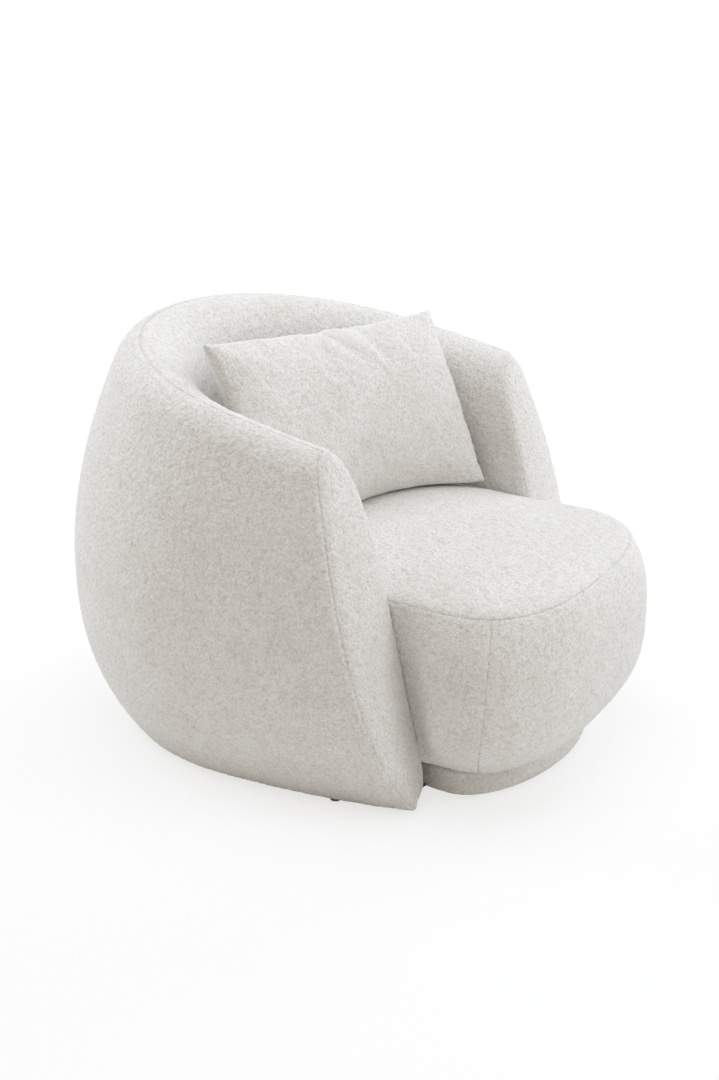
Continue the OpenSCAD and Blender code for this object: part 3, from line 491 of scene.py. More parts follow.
def cover(name, node_name, face, beneath, groove=0.0, wrap=False, high=PILE_HIGH,
          crest=False, thick=CLOTH_T):
    """A closed cover with pile on its face.

    face is the fine grid that shows, and beneath is a point under its middle. The face moves along
    its normal by high * pile height, less the groove, and a coarse lining lies thick below it.
    Where crest is true the last row meets another cover at the rim, so its normals stand square to
    the rim's plane.
    """
    n = normals_of(face, wrap)
    rows, columns = face.shape[:2]
    middle = rows // 2, columns // 2
    if (n[middle] * (np.asarray(beneath) - face[middle])).sum() > 0:
        n = -n
    if crest:
        for row, share in ((-1, 1.0), (-2, 0.6), (-3, 0.25)):
            n[row] = mix(n[row], RIM_UP, share)
            n[row] /= np.linalg.norm(n[row], axis=-1, keepdims=True)
    some = np.unique(np.linspace(0, rows - 1, LINING_ROWS).astype(int))
    lining = face[some] - n[some] * np.broadcast_to(thick, (rows, 1, 1))[some]
    pile = pile_height(face)
    lift = high * pile * (1 - 0.5 * np.clip(groove / SEAM_DEEP, 0, 1)) - groove
    shown = (rows - 1) * (columns if wrap else columns - 1)
    piece = skin_mesh(name, face + n * lift[..., None], lining, wrap, shown)
    # painted shade: this value is lower in the hollows of the pile and in the seam grooves, so the
    # cloth's colour is darker there; the lining gets a plain 0.5
    tone = np.clip(0.5 + 0.5 * pile - 0.4 * groove / SEAM_DEEP, 0, 1)
    add_values(piece, "pile", np.concatenate([tone.ravel(), np.full(lining[..., 0].size, 0.5)]))
    return dress(piece, cloth, "chair", node_name)


# %% Inner face and front panels of the arms
SHELL_SEAM_U, TIP_U, TIP_SPAN = 0.92, 0.88, 0.06
BAND_CROWN, TUCK_H, FLOOR_EDGE_H = 0.007, SEAT_FOOT_H + CLOTH_T, 0.0124
# The arm's inner edge stands fuller from station EDGE_U on, and most of all below LOW_H
EDGE_FULL, EDGE_U, EDGE_FADE, LOW_FULLER, LOW_H, LOW_SPAN = 0.004, 0.95, 0.1, 1.6, 0.22, 0.17
FOOT_CUT, CUT_SPREAD = 0.028, 0.014
OUTER_ROLL, INNER_ROLL, LEAF_SHARE = 0.024, 0.018, 0.42
# Depth and width of the seam that runs up each side of the shell
SHELL_SEAM = (0.0006, 0.0020)


def inside(u, k, d=0.0):
    """Point of the inside cover at share k between its lower edge and the crest.

    Its lower edge is tucked in behind the seat, and comes down to the floor at the tips. There the
    cover also stands fuller, which makes up for the rounding of the edge, and the corner of the arm
    is cut off by up to FOOT_CUT.
    """
    tip = smooth((np.abs(u) - TIP_U) / TIP_SPAN)
    lowest = (mix(TUCK_H, FLOOR_EDGE_H, tip) - HEM_H) / (rim_at(u, 0.0) - HEM_H)
    points = wall(u, mix(lowest, 1.0, k), -1, d)
    z = points[..., 2]
    full = EDGE_FULL * smooth((np.abs(u) - EDGE_U) / (1 - EDGE_U)) * smooth((ARM_H - z) / EDGE_FADE)
    full = full * (1 + LOW_FULLER * smooth((LOW_H - z) / LOW_SPAN))
    points[..., 0] -= np.sign(u) * (full - FOOT_CUT * hill(z - FLOOR_EDGE_H, CUT_SPREAD) * tip)
    return points


def arm_face(side, level, across):
    """Point of an arm's front panel: a line between both faces of the wall, crowned forward."""
    station = np.full(np.shape(level), float(side))
    a, b = wall(station, level, 1), inside(station, level)
    width = np.linalg.norm(b - a, axis=-1)
    points = a + (b - a) * np.asarray(across)[..., None]
    points[..., 1] -= BAND_CROWN * 4 * across * (1 - across) * np.minimum(1, width / ARM_T)
    return points, width


# %% Rolled edges
def edge_distance(grid, axis, end):
    """Distance of every point from one edge of its grid, along the grid's own line."""
    run = np.cumsum(np.linalg.norm(np.diff(grid, axis=axis), axis=-1), axis=axis)
    run = np.concatenate([np.zeros_like(np.take(run, [0], axis=axis)), run], axis=axis)
    return run if end == 0 else np.take(run, [-1], axis=axis) - run


def arc_from(grid, values, where):
    """Distance along the rows of a grid from the column whose value is where."""
    run = edge_distance(grid, 1, 0)
    return np.abs(run - np.array([np.interp(where, values, row) for row in run])[:, None])


def roll_radius(side, level, radius):
    """Radius of a rolled edge, less where the leaf-shaped panel is narrow."""
    return np.minimum(radius, LEAF_SHARE * arm_face(side, level, 0.0 * level)[1]) + 1e-6


def roll_edge(grid, end, radius, beyond):
    """Rolls one end of a grid's rows over towards the panel beyond it.

    Near the edge point C each point becomes (1-q)^2 A + 2 q (1-q) C + q^2 B, where B lies one
    radius back on this surface, A one radius on over the edge, and q runs from 1/2 to 1.
    """
    rows = grid if end == 0 else grid[:, ::-1]
    away = np.linalg.norm(rows - rows[:, :1], axis=-1)
    near = away < radius[:, None]
    for r in range(len(rows)):
        k = np.nonzero(near[r])[0]
        known = slice(len(k) + 2)
        b = np.array([np.interp(radius[r], away[r, known], rows[r, known, i]) for i in range(3)])
        q = (0.5 + 0.5 * away[r, k] / radius[r])[:, None]
        rows[r, k] = (1 - q) ** 2 * beyond[r] + 2 * q * (1 - q) * rows[r, 0] + q * q * b


def roll_ends(face, level, size, outer):
    """Rolls both ends of a shell cover over towards the arms' front panels."""
    for end, side in ((0, -1), (1, 1)):
        radius = roll_radius(side, level, size)
        share = radius / np.maximum(arm_face(side, level, 0.0 * level)[1], 1e-6)
        roll_edge(face, end, radius, arm_face(side, level, share if outer else 1 - share)[0])


# %% Outside cover
around = evened(lambda t: wall(t, np.full_like(t, 0.45), 1), -1, 1, PILE_STEP)
climb = evened(lambda t: wall(np.zeros_like(t), t, 1), 0, 1, PILE_STEP)
face = wall(around[None, :], climb[:, None], 1)
roll_ends(face, climb, OUTER_ROLL, True)
groove = sum(seam_groove(edge_distance(face, 1, end)) for end in (0, 1))
for seam_u in (-SHELL_SEAM_U, SHELL_SEAM_U):
    groove += seam_groove(arc_from(face, around, seam_u), *SHELL_SEAM)
crest_line = face[-1].copy()
cover("shell_outside", "shell_cover_outside", face, wall(0.0, 0.5, -1), groove, crest=True)

# %% Inside cover
climb = evened(lambda t: inside(np.full_like(t, 0.9), t), 0, 1, PILE_STEP)
face = inside(around[None, :], climb[:, None])
roll_ends(face, climb, INNER_ROLL, False)
crest_shift = crest_line - face[-1]
for row, share in ((-1, 1.0), (-2, 0.5), (-3, 0.2)):
    face[row] += share * crest_shift
cover("shell_inside", "shell_cover_inside", face, wall(0.0, 0.5, 1), crest=True)

# %% [markdown]
# ## Arm bands
# A leaf-shaped panel closes the front of each arm, between the outer and the inner seam. Its grid
# runs across the leaf from seam to seam, with a slight crown in the middle, and both its edges are
# rolled over to meet the covers of the shell.

# %% Arm bands
for side, name in ((-1.0, "left"), (1.0, "right")):
    level = evened(lambda t: arm_face(side, t, np.full_like(t, 0.5))[0], 0, 1, PILE_STEP)
    across = np.linspace(0, 1, int(ARM_T / PILE_STEP))
    face = arm_face(side, *np.broadcast_arrays(level[:, None], across[None, :]))[0]
    for end, size, place in ((0, OUTER_ROLL, lambda u: wall(u, level, 1)),
                             (1, INNER_ROLL, lambda u: inside(u, level))):
        radius = roll_radius(side, level, size)
        corner, behind = (place(np.full_like(level, side * share)) for share in (1, 0.97))
        step = np.linalg.norm(behind - corner, axis=-1, keepdims=True)
        roll_edge(face, end, radius, corner + (behind - corner) * radius[:, None] / step)
    face = face.transpose(1, 0, 2)
    beneath = face[face.shape[0] // 2, face.shape[1] // 2] + [0, 0.1, 0]
    groove = seam_groove(edge_distance(face, 0, 0))
    cover("arm_panel_" + name, "arm_band_" + name, face, beneath, groove)

# %% [markdown]
# ## Seat
# The seat is one form: a rounded front, a neck between the arms and a back that follows the inside
# of the shell. Its outline at any height is a closed ring. The side band stacks such rings, and the
# top panel shrinks the uppermost ring towards its middle while it rises to the crown.

# %% Seat outline
FRONT_SHARE, NECK_SHARE, SEAM_SHARE = 0.36, 0.47, 0.28
SLANT, SLANT_SPREAD, SOFT_OVER = 0.018, 0.09, 0.015


def draw_in(z):
    """How far the seat's side is drawn in above and below its widest height."""
    up = np.clip((z - WIDEST_SEAT_H) / (SEAM_H - WIDEST_SEAT_H), 0, None) ** SEAM_POWER
    down = np.clip((WIDEST_SEAT_H - z) / (WIDEST_SEAT_H - SEAT_FOOT_H), 0, None) ** DRAW_POWER
    return SEAM_DRAW * up + FOOT_DRAW * down


def half_ring(z):
    """Right half of the seat's outline at height z: its front arc, neck and rear arc."""
    draw = draw_in(z)
    corner = wall_at_height(np.array([1.0]), np.array([z]), -1)[0]
    neck_x = corner[0] - SEAT_GAP
    extra = max(0.0, neck_x - (SEAT_W / 2 - draw))
    a = np.linspace(0, math.pi / 2, 200)
    front = np.stack([(SEAT_W / 2 - draw) * signed_power(np.sin(a), 2 / SEAT_POWER),
                      SEAT_Y - (SEAT_RUN - draw) * signed_power(np.cos(a), 2 / SEAT_POWER)], -1)
    u = np.linspace(REAR_SHARE, 0, 120)
    rear = wall_at_height(u, np.full_like(u, z), -1, -(SEAT_GAP + extra))[:, :2]
    rear[-1, 0] = 0.0
    neck = [[neck_x - extra, max(corner[1] - NECK_BACK, SEAT_Y)]]
    return front, np.concatenate([front[-1:], neck, rear[:1]]), rear


def seat_ring(z, share):
    """Outline points at shares of the half ring: 0 in front, 1 at the back, negative on the left.

    The front arc takes the shares up to FRONT_SHARE, the neck those up to NECK_SHARE and the rear
    arc the rest, so a share stays at the same part of the form at every height.
    """
    ends = (0, FRONT_SHARE, NECK_SHARE, 1)
    size = np.abs(share)
    ring = np.zeros(share.shape + (3,))
    for part, low, high in zip(half_ring(z), ends[:-1], ends[1:]):
        here = (size >= low) & (size <= high)
        k = (size[here] - low) / (high - low)
        for axis in (0, 1):
            ring[here, axis] = np.interp(k, even_share(part), part[:, axis])
    ring[..., 0] *= np.where(share < 0, -1, 1)
    ring[..., 2] = z
    return ring


ring_share = evened(lambda share: seat_ring(WIDEST_SEAT_H, share), -1, 1, PILE_STEP, 1600)


def seam_slant(share, z):
    """Shares moved backwards near the upright seams, more so towards the foot of the band."""
    low = np.clip((SEAM_H - z) / (SEAM_H - SEAT_FOOT_H), 0, 1) ** 2
    return share + np.sign(share) * SLANT * low * hill(np.abs(share) - SEAM_SHARE, SLANT_SPREAD)


def neighbour_mean(grid, axis):
    """Each point's mean with its neighbours along closed lines, itself counted twice."""
    return 0.5 * grid + 0.25 * (np.roll(grid, 1, axis) + np.roll(grid, -1, axis))


def band_rings(heights):
    """Closed rings stacked over the given heights, with their neck softened over SOFT_OVER."""
    rings = np.stack([seat_ring(z, seam_slant(ring_share[:-1], z)) for z in heights])
    for _ in range(int(2 * (SOFT_OVER / PILE_STEP) ** 2)):
        rings = neighbour_mean(rings, 1)
    return rings


# %% Seat surface from foot to crown
CENTRE_Y = (FRONT_Y + wall_at_height(np.array([0.0]), np.array([SEAM_H]), -1)[0, 1]) / 2
LIP_H, LIP_IN, LIP_LOW, SHOULDER, SHOULDER_REACH = 0.012, 0.007, SEAT_FOOT_H - 0.004, 0.013, 0.035
BAND_TOP, SKIRT, TOP_SPAN, HUB = SEAM_H - CLOTH_T - SLIT, (0.0004, 0.0028), 0.33, 0.004


def crown(k):
    """Height of the seat's top at share k between its middle and its seam."""
    return SEAM_H + CROWN_H * (1 - k ** DOME_POWER)


def dome(ring, k):
    """The ring shrunk to share k about the middle and raised to the crown."""
    x, y = ring[None, :, 0] * k[:, None], mix(CENTRE_Y, ring[None, :, 1], k[:, None])
    return np.stack(np.broadcast_arrays(x, y, crown(k)[:, None]), -1)


def lip(rings):
    """Rolls the foot of the band in by LIP_IN * (1 - t)^2, where t is the height over LIP_H."""
    t = np.clip((rings[..., 2:] - LIP_LOW) / LIP_H, 0, 1)
    towards = np.array([0, CENTRE_Y, 0]) - rings * [1, 1, 0]
    towards /= np.linalg.norm(towards, axis=-1, keepdims=True)
    return rings + towards * LIP_IN * (1 - t) ** 2


heights = evened(lambda t: np.stack([0 * t, -draw_in(t), t], -1), LIP_LOW, BAND_TOP, PILE_STEP)
side_rows, skirt_rows = lip(band_rings(heights)), band_rings([BAND_TOP + v for v in SKIRT])
top_rows = dome(band_rings([SEAM_H])[0], np.linspace(1, HUB, int(TOP_SPAN / PILE_STEP)))
whole = np.concatenate([side_rows, skirt_rows, top_rows])
near_seam = hill((np.arange(len(whole)) - len(side_rows)) * PILE_STEP, SHOULDER_REACH)
near_seam[[0, 1, -1]] = 0
for _ in range(int(2 * (SHOULDER / PILE_STEP) ** 2)):
    whole = mix(whole, neighbour_mean(whole, 0), near_seam[:, None, None])
side_rows, top_rows = whole[: len(side_rows)], whole[len(side_rows) - 1 :]
print("seat surface", whole.shape[0], "rings of", whole.shape[1], "points")

# %% Seat side bands and top panel
TOP_SEAM, SIDE_SEAM = 0.0010, 0.0009
cut_left, cut_right = np.searchsorted(ring_share, (-SEAM_SHARE, SEAM_SHARE))
around_ring = np.arange(side_rows.shape[1] + 1) % side_rows.shape[1]
# Each panel's columns, and at which of its ends it has an upright seam
for name, columns, seams in (("left", around_ring[: cut_left + 1], (1,)),
                             ("front", around_ring[cut_left : cut_right + 1], (0, 1)),
                             ("right", around_ring[cut_right:], (0,))):
    face = side_rows[:, columns]
    groove = seam_groove(edge_distance(face, 0, 1), TOP_SEAM)
    groove += sum(seam_groove(edge_distance(face, 1, end), SIDE_SEAM) for end in seams)
    cover("seat_side_" + name, "seat_band_" + name, face, (0, CENTRE_Y, WIDEST_SEAT_H), groove)
groove = seam_groove(edge_distance(top_rows, 0, 0), TOP_SEAM)
cover("seat_top", "seat_cover_top", top_rows, (0, CENTRE_Y, 0.1), groove, wrap=True)

# %% [markdown]
# ## Plinth cover
# The seat stands on a low plinth, set back all round, wrapped in the same cloth. Its top edge is
# rounded, and above that the cloth lies in the groove under the lip of the seat.

# %% Plinth cover
PLINTH_W, PLINTH_RUN, PLINTH_BACK_RUN, PLINTH_POWER, PLINTH_PILE = 0.476, 0.121, 0.300, 1.9, 0.0009
PLINTH_LOW, PLINTH_HIGH, PLINTH_ROUND = 0.009, 0.0520, 0.007
# Over the plinth's top the cloth lies in a groove: how far in, how thick and from how far below
# the top, and the heights of its rows above the top
GROOVE_IN, GROOVE_T, GROOVE_NEAR, GROOVE_ROWS = 0.0042, 0.0006, 0.002, (0.0025, 0.005, 0.0078)


def plinth_ring(a, z, d):
    """Two half ovals, a short one in front and a longer one behind, with the same width."""
    run = np.where(np.cos(a) > 0, PLINTH_RUN, PLINTH_BACK_RUN)
    x = (PLINTH_W / 2 - d) * signed_power(np.sin(a), 2 / PLINTH_POWER)
    y = SEAT_Y - (run - d) * signed_power(np.cos(a), 2 / PLINTH_POWER)
    return np.stack(np.broadcast_arrays(x, y, z), -1)


turn = evened(lambda t: plinth_ring(t, 0.0, 0.0), 0, 2 * math.pi, PILE_STEP)[:-1]
count = int((PLINTH_HIGH - PLINTH_LOW) / PILE_STEP * 1.3) + 1
heights = np.concatenate([np.linspace(PLINTH_LOW, PLINTH_HIGH, count),
                          PLINTH_HIGH + np.array(GROOVE_ROWS)])[:, None]
over = np.clip((heights - PLINTH_HIGH + PLINTH_ROUND) / PLINTH_ROUND, 0, 1)
face = plinth_ring(turn[None, :], heights, GROOVE_IN * (1 - np.sqrt(1 - over * over)))
skin = np.where(heights > PLINTH_HIGH - GROOVE_NEAR, GROOVE_T, CLOTH_T)[:, None]
cover("plinth_wrap", "plinth_cover", face, (0, SEAT_Y, 0.03), wrap=True, high=PLINTH_PILE,
      thick=skin)

# %% [markdown]
# ## Loose cushion
# The cushion is a cover sewn from two panels and filled with down. Its cloth can hardly stretch, so
# where the filling pushes it out the edges are pulled in and small puckers run from them. A cloth
# simulation gives just that: it blows up a thin pillow whose two faces share their edge. Its broad
# form gives way to the size that the CAD fixes, and its small folds are kept. The surface is then
# refined, and gets the two folds of the real cushion, its seam and its pile.

# %% Cushion form
CUSHION_W, CUSHION_H, CUSHION_T, CUSHION_EDGE_T, CUSHION_POWER = 0.556, 0.357, 0.160, 0.006, 4
LEAN, TURN = math.radians(22.4), math.radians(13.6)
CUSHION_DRAW, CUSHION_SIDE_DRAW, SLUMP, TIP, SHIFT = 0.018, 0.012, 0.024, 0.035, 0.008
CUSHION_SAG, TOP_SAG_SHARE, CORNER_Y, REST_GAP, SEAM_IN = 0.070, 0.35, -0.066, 0.0003, 0.001
# How much fuller the edges stand than in the CAD form: the top at places across, and the left
TOP_LIFT = ((-1, -0.8, -0.6, -0.14, 0.43, 0.7, 1),
            (0.006, 0.010, 0.012, 0.008, 0.007, 0.008, 0.003))
LEFT_FULL, CROWN_ROUND = 0.006, 2.4


def puff(v):
    """How far the filling pushes out at place v between two edges: (1 - |v|^2.2)^0.46."""
    return np.clip(1 - np.abs(v) ** 2.2, 0, 1) ** 0.46


def cushion_form(a, b, side, d=0.0, full=1.0):
    """Point of the upright cushion: a runs across, b upwards, side is -1 in front, 1 behind.

    The edges draw in by draw * (1 - |v|^4), the faces stand apart by the two puffs, and the whole
    form bends backwards across its width and slumps to one side.
    """
    x = a * (CUSHION_W / 2 - d - CUSHION_SIDE_DRAW * (1 - np.abs(b) ** CUSHION_POWER))
    z = b * (CUSHION_H / 2 - d - CUSHION_DRAW * (1 - np.abs(a) ** CUSHION_POWER))
    rise = (b + 1) / 2
    z = z + np.interp(a, *TOP_LIFT) * np.clip(rise, 0, 1) ** 3
    x = x - LEFT_FULL * np.clip(-a, 0, 1) ** 3
    t = mix(CUSHION_EDGE_T, CUSHION_T, full * puff(a) * puff(b)) / 2 - 0.6 * d
    sag = CUSHION_SAG * mix(1, TOP_SAG_SHARE, rise) * (1 - a * a)
    return np.stack(np.broadcast_arrays(
        x - SLUMP * (rise - 0.5), side * t + sag * math.cos(LEAN),
        CUSHION_H / 2 + z - rise * a * TIP / 2 + sag * math.sin(LEAN)), -1)


def crown_at(x, y):
    """Height of the seat's crown at a place, by its rounded distance from the middle."""
    x, y = np.abs(x) / (SEAT_W / 2), np.abs(y - CENTRE_Y) / (CENTRE_Y - FRONT_Y)
    return crown((x ** CROWN_ROUND + y ** CROWN_ROUND) ** (1 / CROWN_ROUND))


def leaned(p):
    """Leans the upright cushion back and turns it towards the left arm."""
    y = p[..., 1] * math.cos(LEAN) + p[..., 2] * math.sin(LEAN)
    z = p[..., 2] * math.cos(LEAN) - p[..., 1] * math.sin(LEAN)
    return np.stack([p[..., 0] * math.cos(TURN) + y * math.sin(TURN) - SHIFT,
                     y * math.cos(TURN) - p[..., 0] * math.sin(TURN) + CORNER_Y, z], -1)


across, upward = (-np.cos(np.linspace(0, math.pi, count)) for count in (15, 13))
tries = [leaned(cushion_form(across[None, :], upward[:, None], side)) for side in (-1, 1)]
CUSHION_Z = REST_GAP + max(float((crown_at(p[..., 0], p[..., 1]) - p[..., 2]).max()) for p in tries)
print("cushion raised by", round(CUSHION_Z, 4), "m to rest on the crown")

# %% Pillow grids that share their edge
def spread(count):
    """Places from -1 to 1, somewhat closer together near both ends."""
    v = np.linspace(-1, 1, count)
    return mix(v, np.sin(math.pi / 2 * v), 0.5)


def pillow_numbers(rows, columns):
    """Point numbers of the front and back grids, which share their outer ring of points."""
    front = np.arange(rows * columns).reshape(rows, columns)
    back = front.copy()
    back[1:-1, 1:-1] = rows * columns + np.arange((rows - 2) * (columns - 2)).reshape(rows - 2, -1)
    return front, back


def pillow_quads(numbers):
    """Quads of both faces, the back ones the other way round."""
    cells = [np.stack([grid[:-1, :-1], grid[:-1, 1:], grid[1:, 1:], grid[1:, :-1]], -1)
             for grid in numbers]
    return np.concatenate([cells[0].reshape(-1, 4), cells[1].reshape(-1, 4)[:, ::-1]])


def on_pillow(front, back=None):
    """Values of both grids in the order of the pillow's points, the back as the front if None."""
    back = (front if back is None else back)[1:-1, 1:-1]
    size = front.shape[2:]
    return np.concatenate([front.reshape(-1, *size), back.reshape(-1, *size)])


def joined(front, back):
    """Both faces as one list of points, with their mean on the shared ring."""
    rim = (front + back) / 2
    rim[1:-1, 1:-1] = front[1:-1, 1:-1]
    return on_pillow(rim, back)


def refined(grid, rows, columns):
    """The grid on more rows and columns, on Catmull-Rom curves through its points."""
    for axis, count in ((0, rows), (1, columns)):
        had = grid.shape[axis]
        place = np.linspace(0, had - 1, count)
        low = np.minimum(place.astype(int), had - 2)
        t = (place - low).reshape([-1 if k == axis else 1 for k in range(3)])
        p = [np.take(grid, np.clip(low + k, 0, had - 1), axis) for k in (-1, 0, 1, 2)]
        grid = 0.5 * (2 * p[1] + (p[2] - p[0]) * t + (3 * p[1] - p[0] - 3 * p[2] + p[3]) * t ** 3
                      + (2 * p[0] - 5 * p[1] + 4 * p[2] - p[3]) * t ** 2)
    return grid


# %% Cloth simulation that fills the cushion
COARSE_ROWS, COARSE_COLUMNS = 43, 65
FLAT_SHARE, CUSHION_CAP, FOLD_SHARE, BLUR_PASSES = 0.55, 0.007, 0.55, 14


def blurred(grid, passes):
    """Mean of each grid value's neighbours, over and over, with the slope kept at the edges."""
    for _ in range(passes):
        wide = np.pad(grid, ((1, 1), (1, 1), (0, 0)), mode="reflect", reflect_type="odd")
        grid = (wide[:-2, 1:-1] + wide[2:, 1:-1] + wide[1:-1, :-2] + wide[1:-1, 2:]) / 4
    return grid


def blown_up(points, quads, pressure=4.0, extra=0.02, frames=20):
    """Points of a closed pillow after the cloth on it has been blown up without gravity."""
    piece = new_mesh("filling_up", points, quads)
    modifier = piece.modifiers.new("filling_up", "CLOTH")
    run = modifier.settings
    run.quality, run.mass = 6, 0.002
    run.tension_stiffness = run.compression_stiffness = 15
    run.shear_stiffness, run.bending_stiffness = 5, 0.3
    run.use_pressure, run.uniform_pressure_force, run.shrink_min = True, pressure, -extra
    run.effector_weights.gravity = 0
    modifier.collision_settings.use_collision = False
    scene = bpy.context.scene
    scene.frame_start, scene.frame_end = 1, frames
    for number in range(1, frames + 1):
        scene.frame_set(number)
    found = piece.evaluated_get(bpy.context.evaluated_depsgraph_get()).to_mesh()
    moved = np.empty(len(points) * 3, np.float32)
    found.vertices.foreach_get("co", moved)
    mesh = piece.data
    bpy.data.objects.remove(piece)
    bpy.data.meshes.remove(mesh)
    scene.frame_set(1)
    return moved.reshape(-1, 3).astype(float)


numbers = pillow_numbers(COARSE_ROWS, COARSE_COLUMNS)
a, b = spread(COARSE_COLUMNS)[None, :], spread(COARSE_ROWS)[:, None]
filled = wanted = joined(*(cushion_form(a, b, side, SEAM_IN) for side in (-1, 1)))
thin = joined(*(cushion_form(a, b, side, SEAM_IN, FLAT_SHARE) for side in (-1, 1)))
moved = blown_up(thin, pillow_quads(numbers)) - wanted
broad = np.zeros_like(moved)
for grid in numbers:
    broad[grid.ravel()] = blurred(moved[grid], BLUR_PASSES).reshape(-1, 3)
off_rim = on_pillow(1 - np.maximum(np.abs(a), np.abs(b)) ** 10)[:, None]
moved = FOLD_SHARE * (moved - broad) * (0.35 + 0.65 * off_rim)
far = np.linalg.norm(moved, axis=1, keepdims=True)
print("cushion: small folds of", round(1000 * float(far.mean()), 1), "mm on average")
filled = wanted + moved * np.minimum(1, CUSHION_CAP / np.maximum(far, 1e-9))

# %% Folds and rest of the cushion
ZIP_MIDDLE_B, PRESS, PRESS_END_Y, SETTLE = -0.12, 0.018, 0.25, 0.03
# Place across at the top edge, spread and height of each fold, and of the cloth raised between
FOLDS = ((-0.05, 0.045, -0.0042), (0.22, 0.05, -0.0036), (0.09, 0.07, 0.0026))
FOLD_SLOPE, PULL_IN = 0.34, 0.0022


def cushion_folds(a, b):
    """Shallow folds that run down from the top edge, which they pull in by up to PULL_IN."""
    lines = sum(high * hill(a - place - FOLD_SLOPE * (1 - b), wide) for place, wide, high in FOLDS)
    pull = PULL_IN * hill(a - 0.1, 0.3) * smooth((b - 0.7) / 0.3)
    return smooth((b - 0.42) / 0.4) * lines - pull


def zip_room(a, b):
    """1 beside the zip in the left edge, where the cloth lies flat, and 0 elsewhere."""
    return hill(a + 1, 0.07) * smooth((0.62 - np.abs(b - ZIP_MIDDLE_B)) / 0.1)


def settled(grid):
    """Lets the lower edge down onto the crown: each column sinks by its gap, less upwards."""
    low = grid[0]
    gap = low[:, 2] - crown_at(low[:, 0], low[:, 1]) - 1.2 * PILE_HIGH
    fall = smooth((0.25 - b) / 1.25) * (1 - 0.7 * smooth((a - 0.84) / 0.16))
    grid[..., 2] -= np.clip(gap, 0, SETTLE)[None, :] * fall
    return grid


def pressed(points, fall):
    """Flattens the underside on the seat: heights h under PRESS become h^2 / (2 PRESS).

    Behind PRESS_END_Y the cushion leans on the shell, and keeps its form.
    """
    rest = crown_at(points[..., 0], points[..., 1]) + 1.4 * PILE_HIGH
    h = np.maximum(points[..., 2] - rest, 0)
    flat = np.where(h < PRESS, h * h / (2 * PRESS), h - PRESS / 2)
    lower = rest + mix(h, flat, fall)
    points[..., 2] = np.where(points[..., 1] < PRESS_END_Y, lower, points[..., 2])
    return points


def raised(piece, points, lift):
    """The points of a mesh, each moved outwards along its normal by its own lift."""
    n = np.empty(len(points) * 3, np.float32)
    piece.data.vertex_normals.foreach_get("vector", n)
    return points + n.reshape(-1, 3).astype(float) * np.asarray(lift)[:, None]


def put_points(piece, points):
    """Gives the points of a mesh new places."""
    piece.data.vertices.foreach_set("co", points.astype(np.float32).ravel())
    piece.data.update()


# %% Cushion cover
# Depth and width of the seam round the cushion
CUSHION_SEAM = (0.0012, 0.0022)
rows, columns = int(CUSHION_H / PILE_STEP), int(CUSHION_W / PILE_STEP)
a, b = np.broadcast_arrays(spread(columns)[None, :], spread(rows)[:, None])
room = zip_room(a, b)
front, back = (settled(leaned(mix(refined(filled[grid], rows, columns),
                                  cushion_form(a, b, side, SEAM_IN), room[..., None]))
                       + [0, 0, CUSHION_Z]) for grid, side in zip(numbers, (-1, 1)))
points = joined(front, back)
cushion = new_mesh("cushion", points, pillow_quads(pillow_numbers(rows, columns)))
pile = pile_height(points)
edges = [edge_distance(front, axis, end) for axis in (0, 1) for end in (0, 1)]
groove = on_pillow(seam_groove(np.minimum.reduce(edges), *CUSHION_SEAM))
lift = (PILE_HIGH * pile - groove) * (1 - on_pillow(room))
lift += on_pillow(cushion_folds(a, b), 0.4 * cushion_folds(-a, b))
down = smooth((0.4 - b) / 1.4) * (1 - room) * (1 - 0.6 * smooth((a - 0.7) / 0.3))
put_points(cushion, pressed(raised(cushion, points, lift), on_pillow(down)))
# painted shade: this value is lower in the hollows of the pile and in the seam groove, so the
# cloth's colour is darker there
add_values(cushion, "pile", np.clip(0.55 + 0.45 * pile - 0.5 * groove / SEAM_DEEP, 0, 1))
dress(cushion, cloth, "cushion", "cushion_cover")

# %% [markdown]
# ## Finishes of the inner parts
# Foam, wood, metal and plastic show a grain. One noise gives both their colour and their fine
# relief, and a stretch turns its spots into fibres. Tape and lining cloth show threads, which are
# waves that cross. Both recipes read Object coordinates, so they need no image and no UV map.

# %% Grained and woven finishes
# A wave texture of scale 1 repeats every 0.314 m
WAVE_RUN = 0.314


def grained(name, low, high, scale, roughness, relief, stretch=(1, 1, 1), detail=4.0, metal=0.0):
    """A finish whose colour and bump follow one noise, stretched along the object's axes."""
    material, tree, shader = fresh_material(name, roughness)
    place = node(tree, "Mapping", Vector=object_place(tree), Scale=stretch).outputs["Vector"]
    grain = noise_of(tree, place, scale, detail, 0.6)
    finish(tree, shader, ramp(tree, grain, (0.3, low), (0.7, high)), grain, 0.6, relief)
    shader.inputs["Metallic"].default_value = metal
    return material


def woven(name, low, high, pitch, roughness=0.85):
    """A plain weave: waves crossed at right angles, whose mean drives the bump and the colour."""
    material, tree, shader = fresh_material(name, roughness)
    place = object_place(tree)
    waves = [node(tree, "TexWave", {"bands_direction": way}, Vector=place, Scale=WAVE_RUN / pitch,
                  Distortion=0.6, Detail=1.0).outputs["Fac"] for way in "XYZ"]
    total = maths(tree, "ADD", maths(tree, "ADD", waves[0], waves[1]), waves[2])
    threads = maths(tree, "DIVIDE", total, 3.0)
    finish(tree, shader, ramp(tree, threads, (0.25, low), (0.75, high)), threads, 0.8, 0.0005)
    return material


down_bag = woven("down_bag_cotton", (0.80, 0.79, 0.76), (0.92, 0.91, 0.88), 0.0012)
foam = grained("foam_cream", (0.80, 0.74, 0.52), (0.90, 0.85, 0.66), 420, 0.95, 0.0008)
print("inner finishes:", down_bag.name, "and", foam.name)

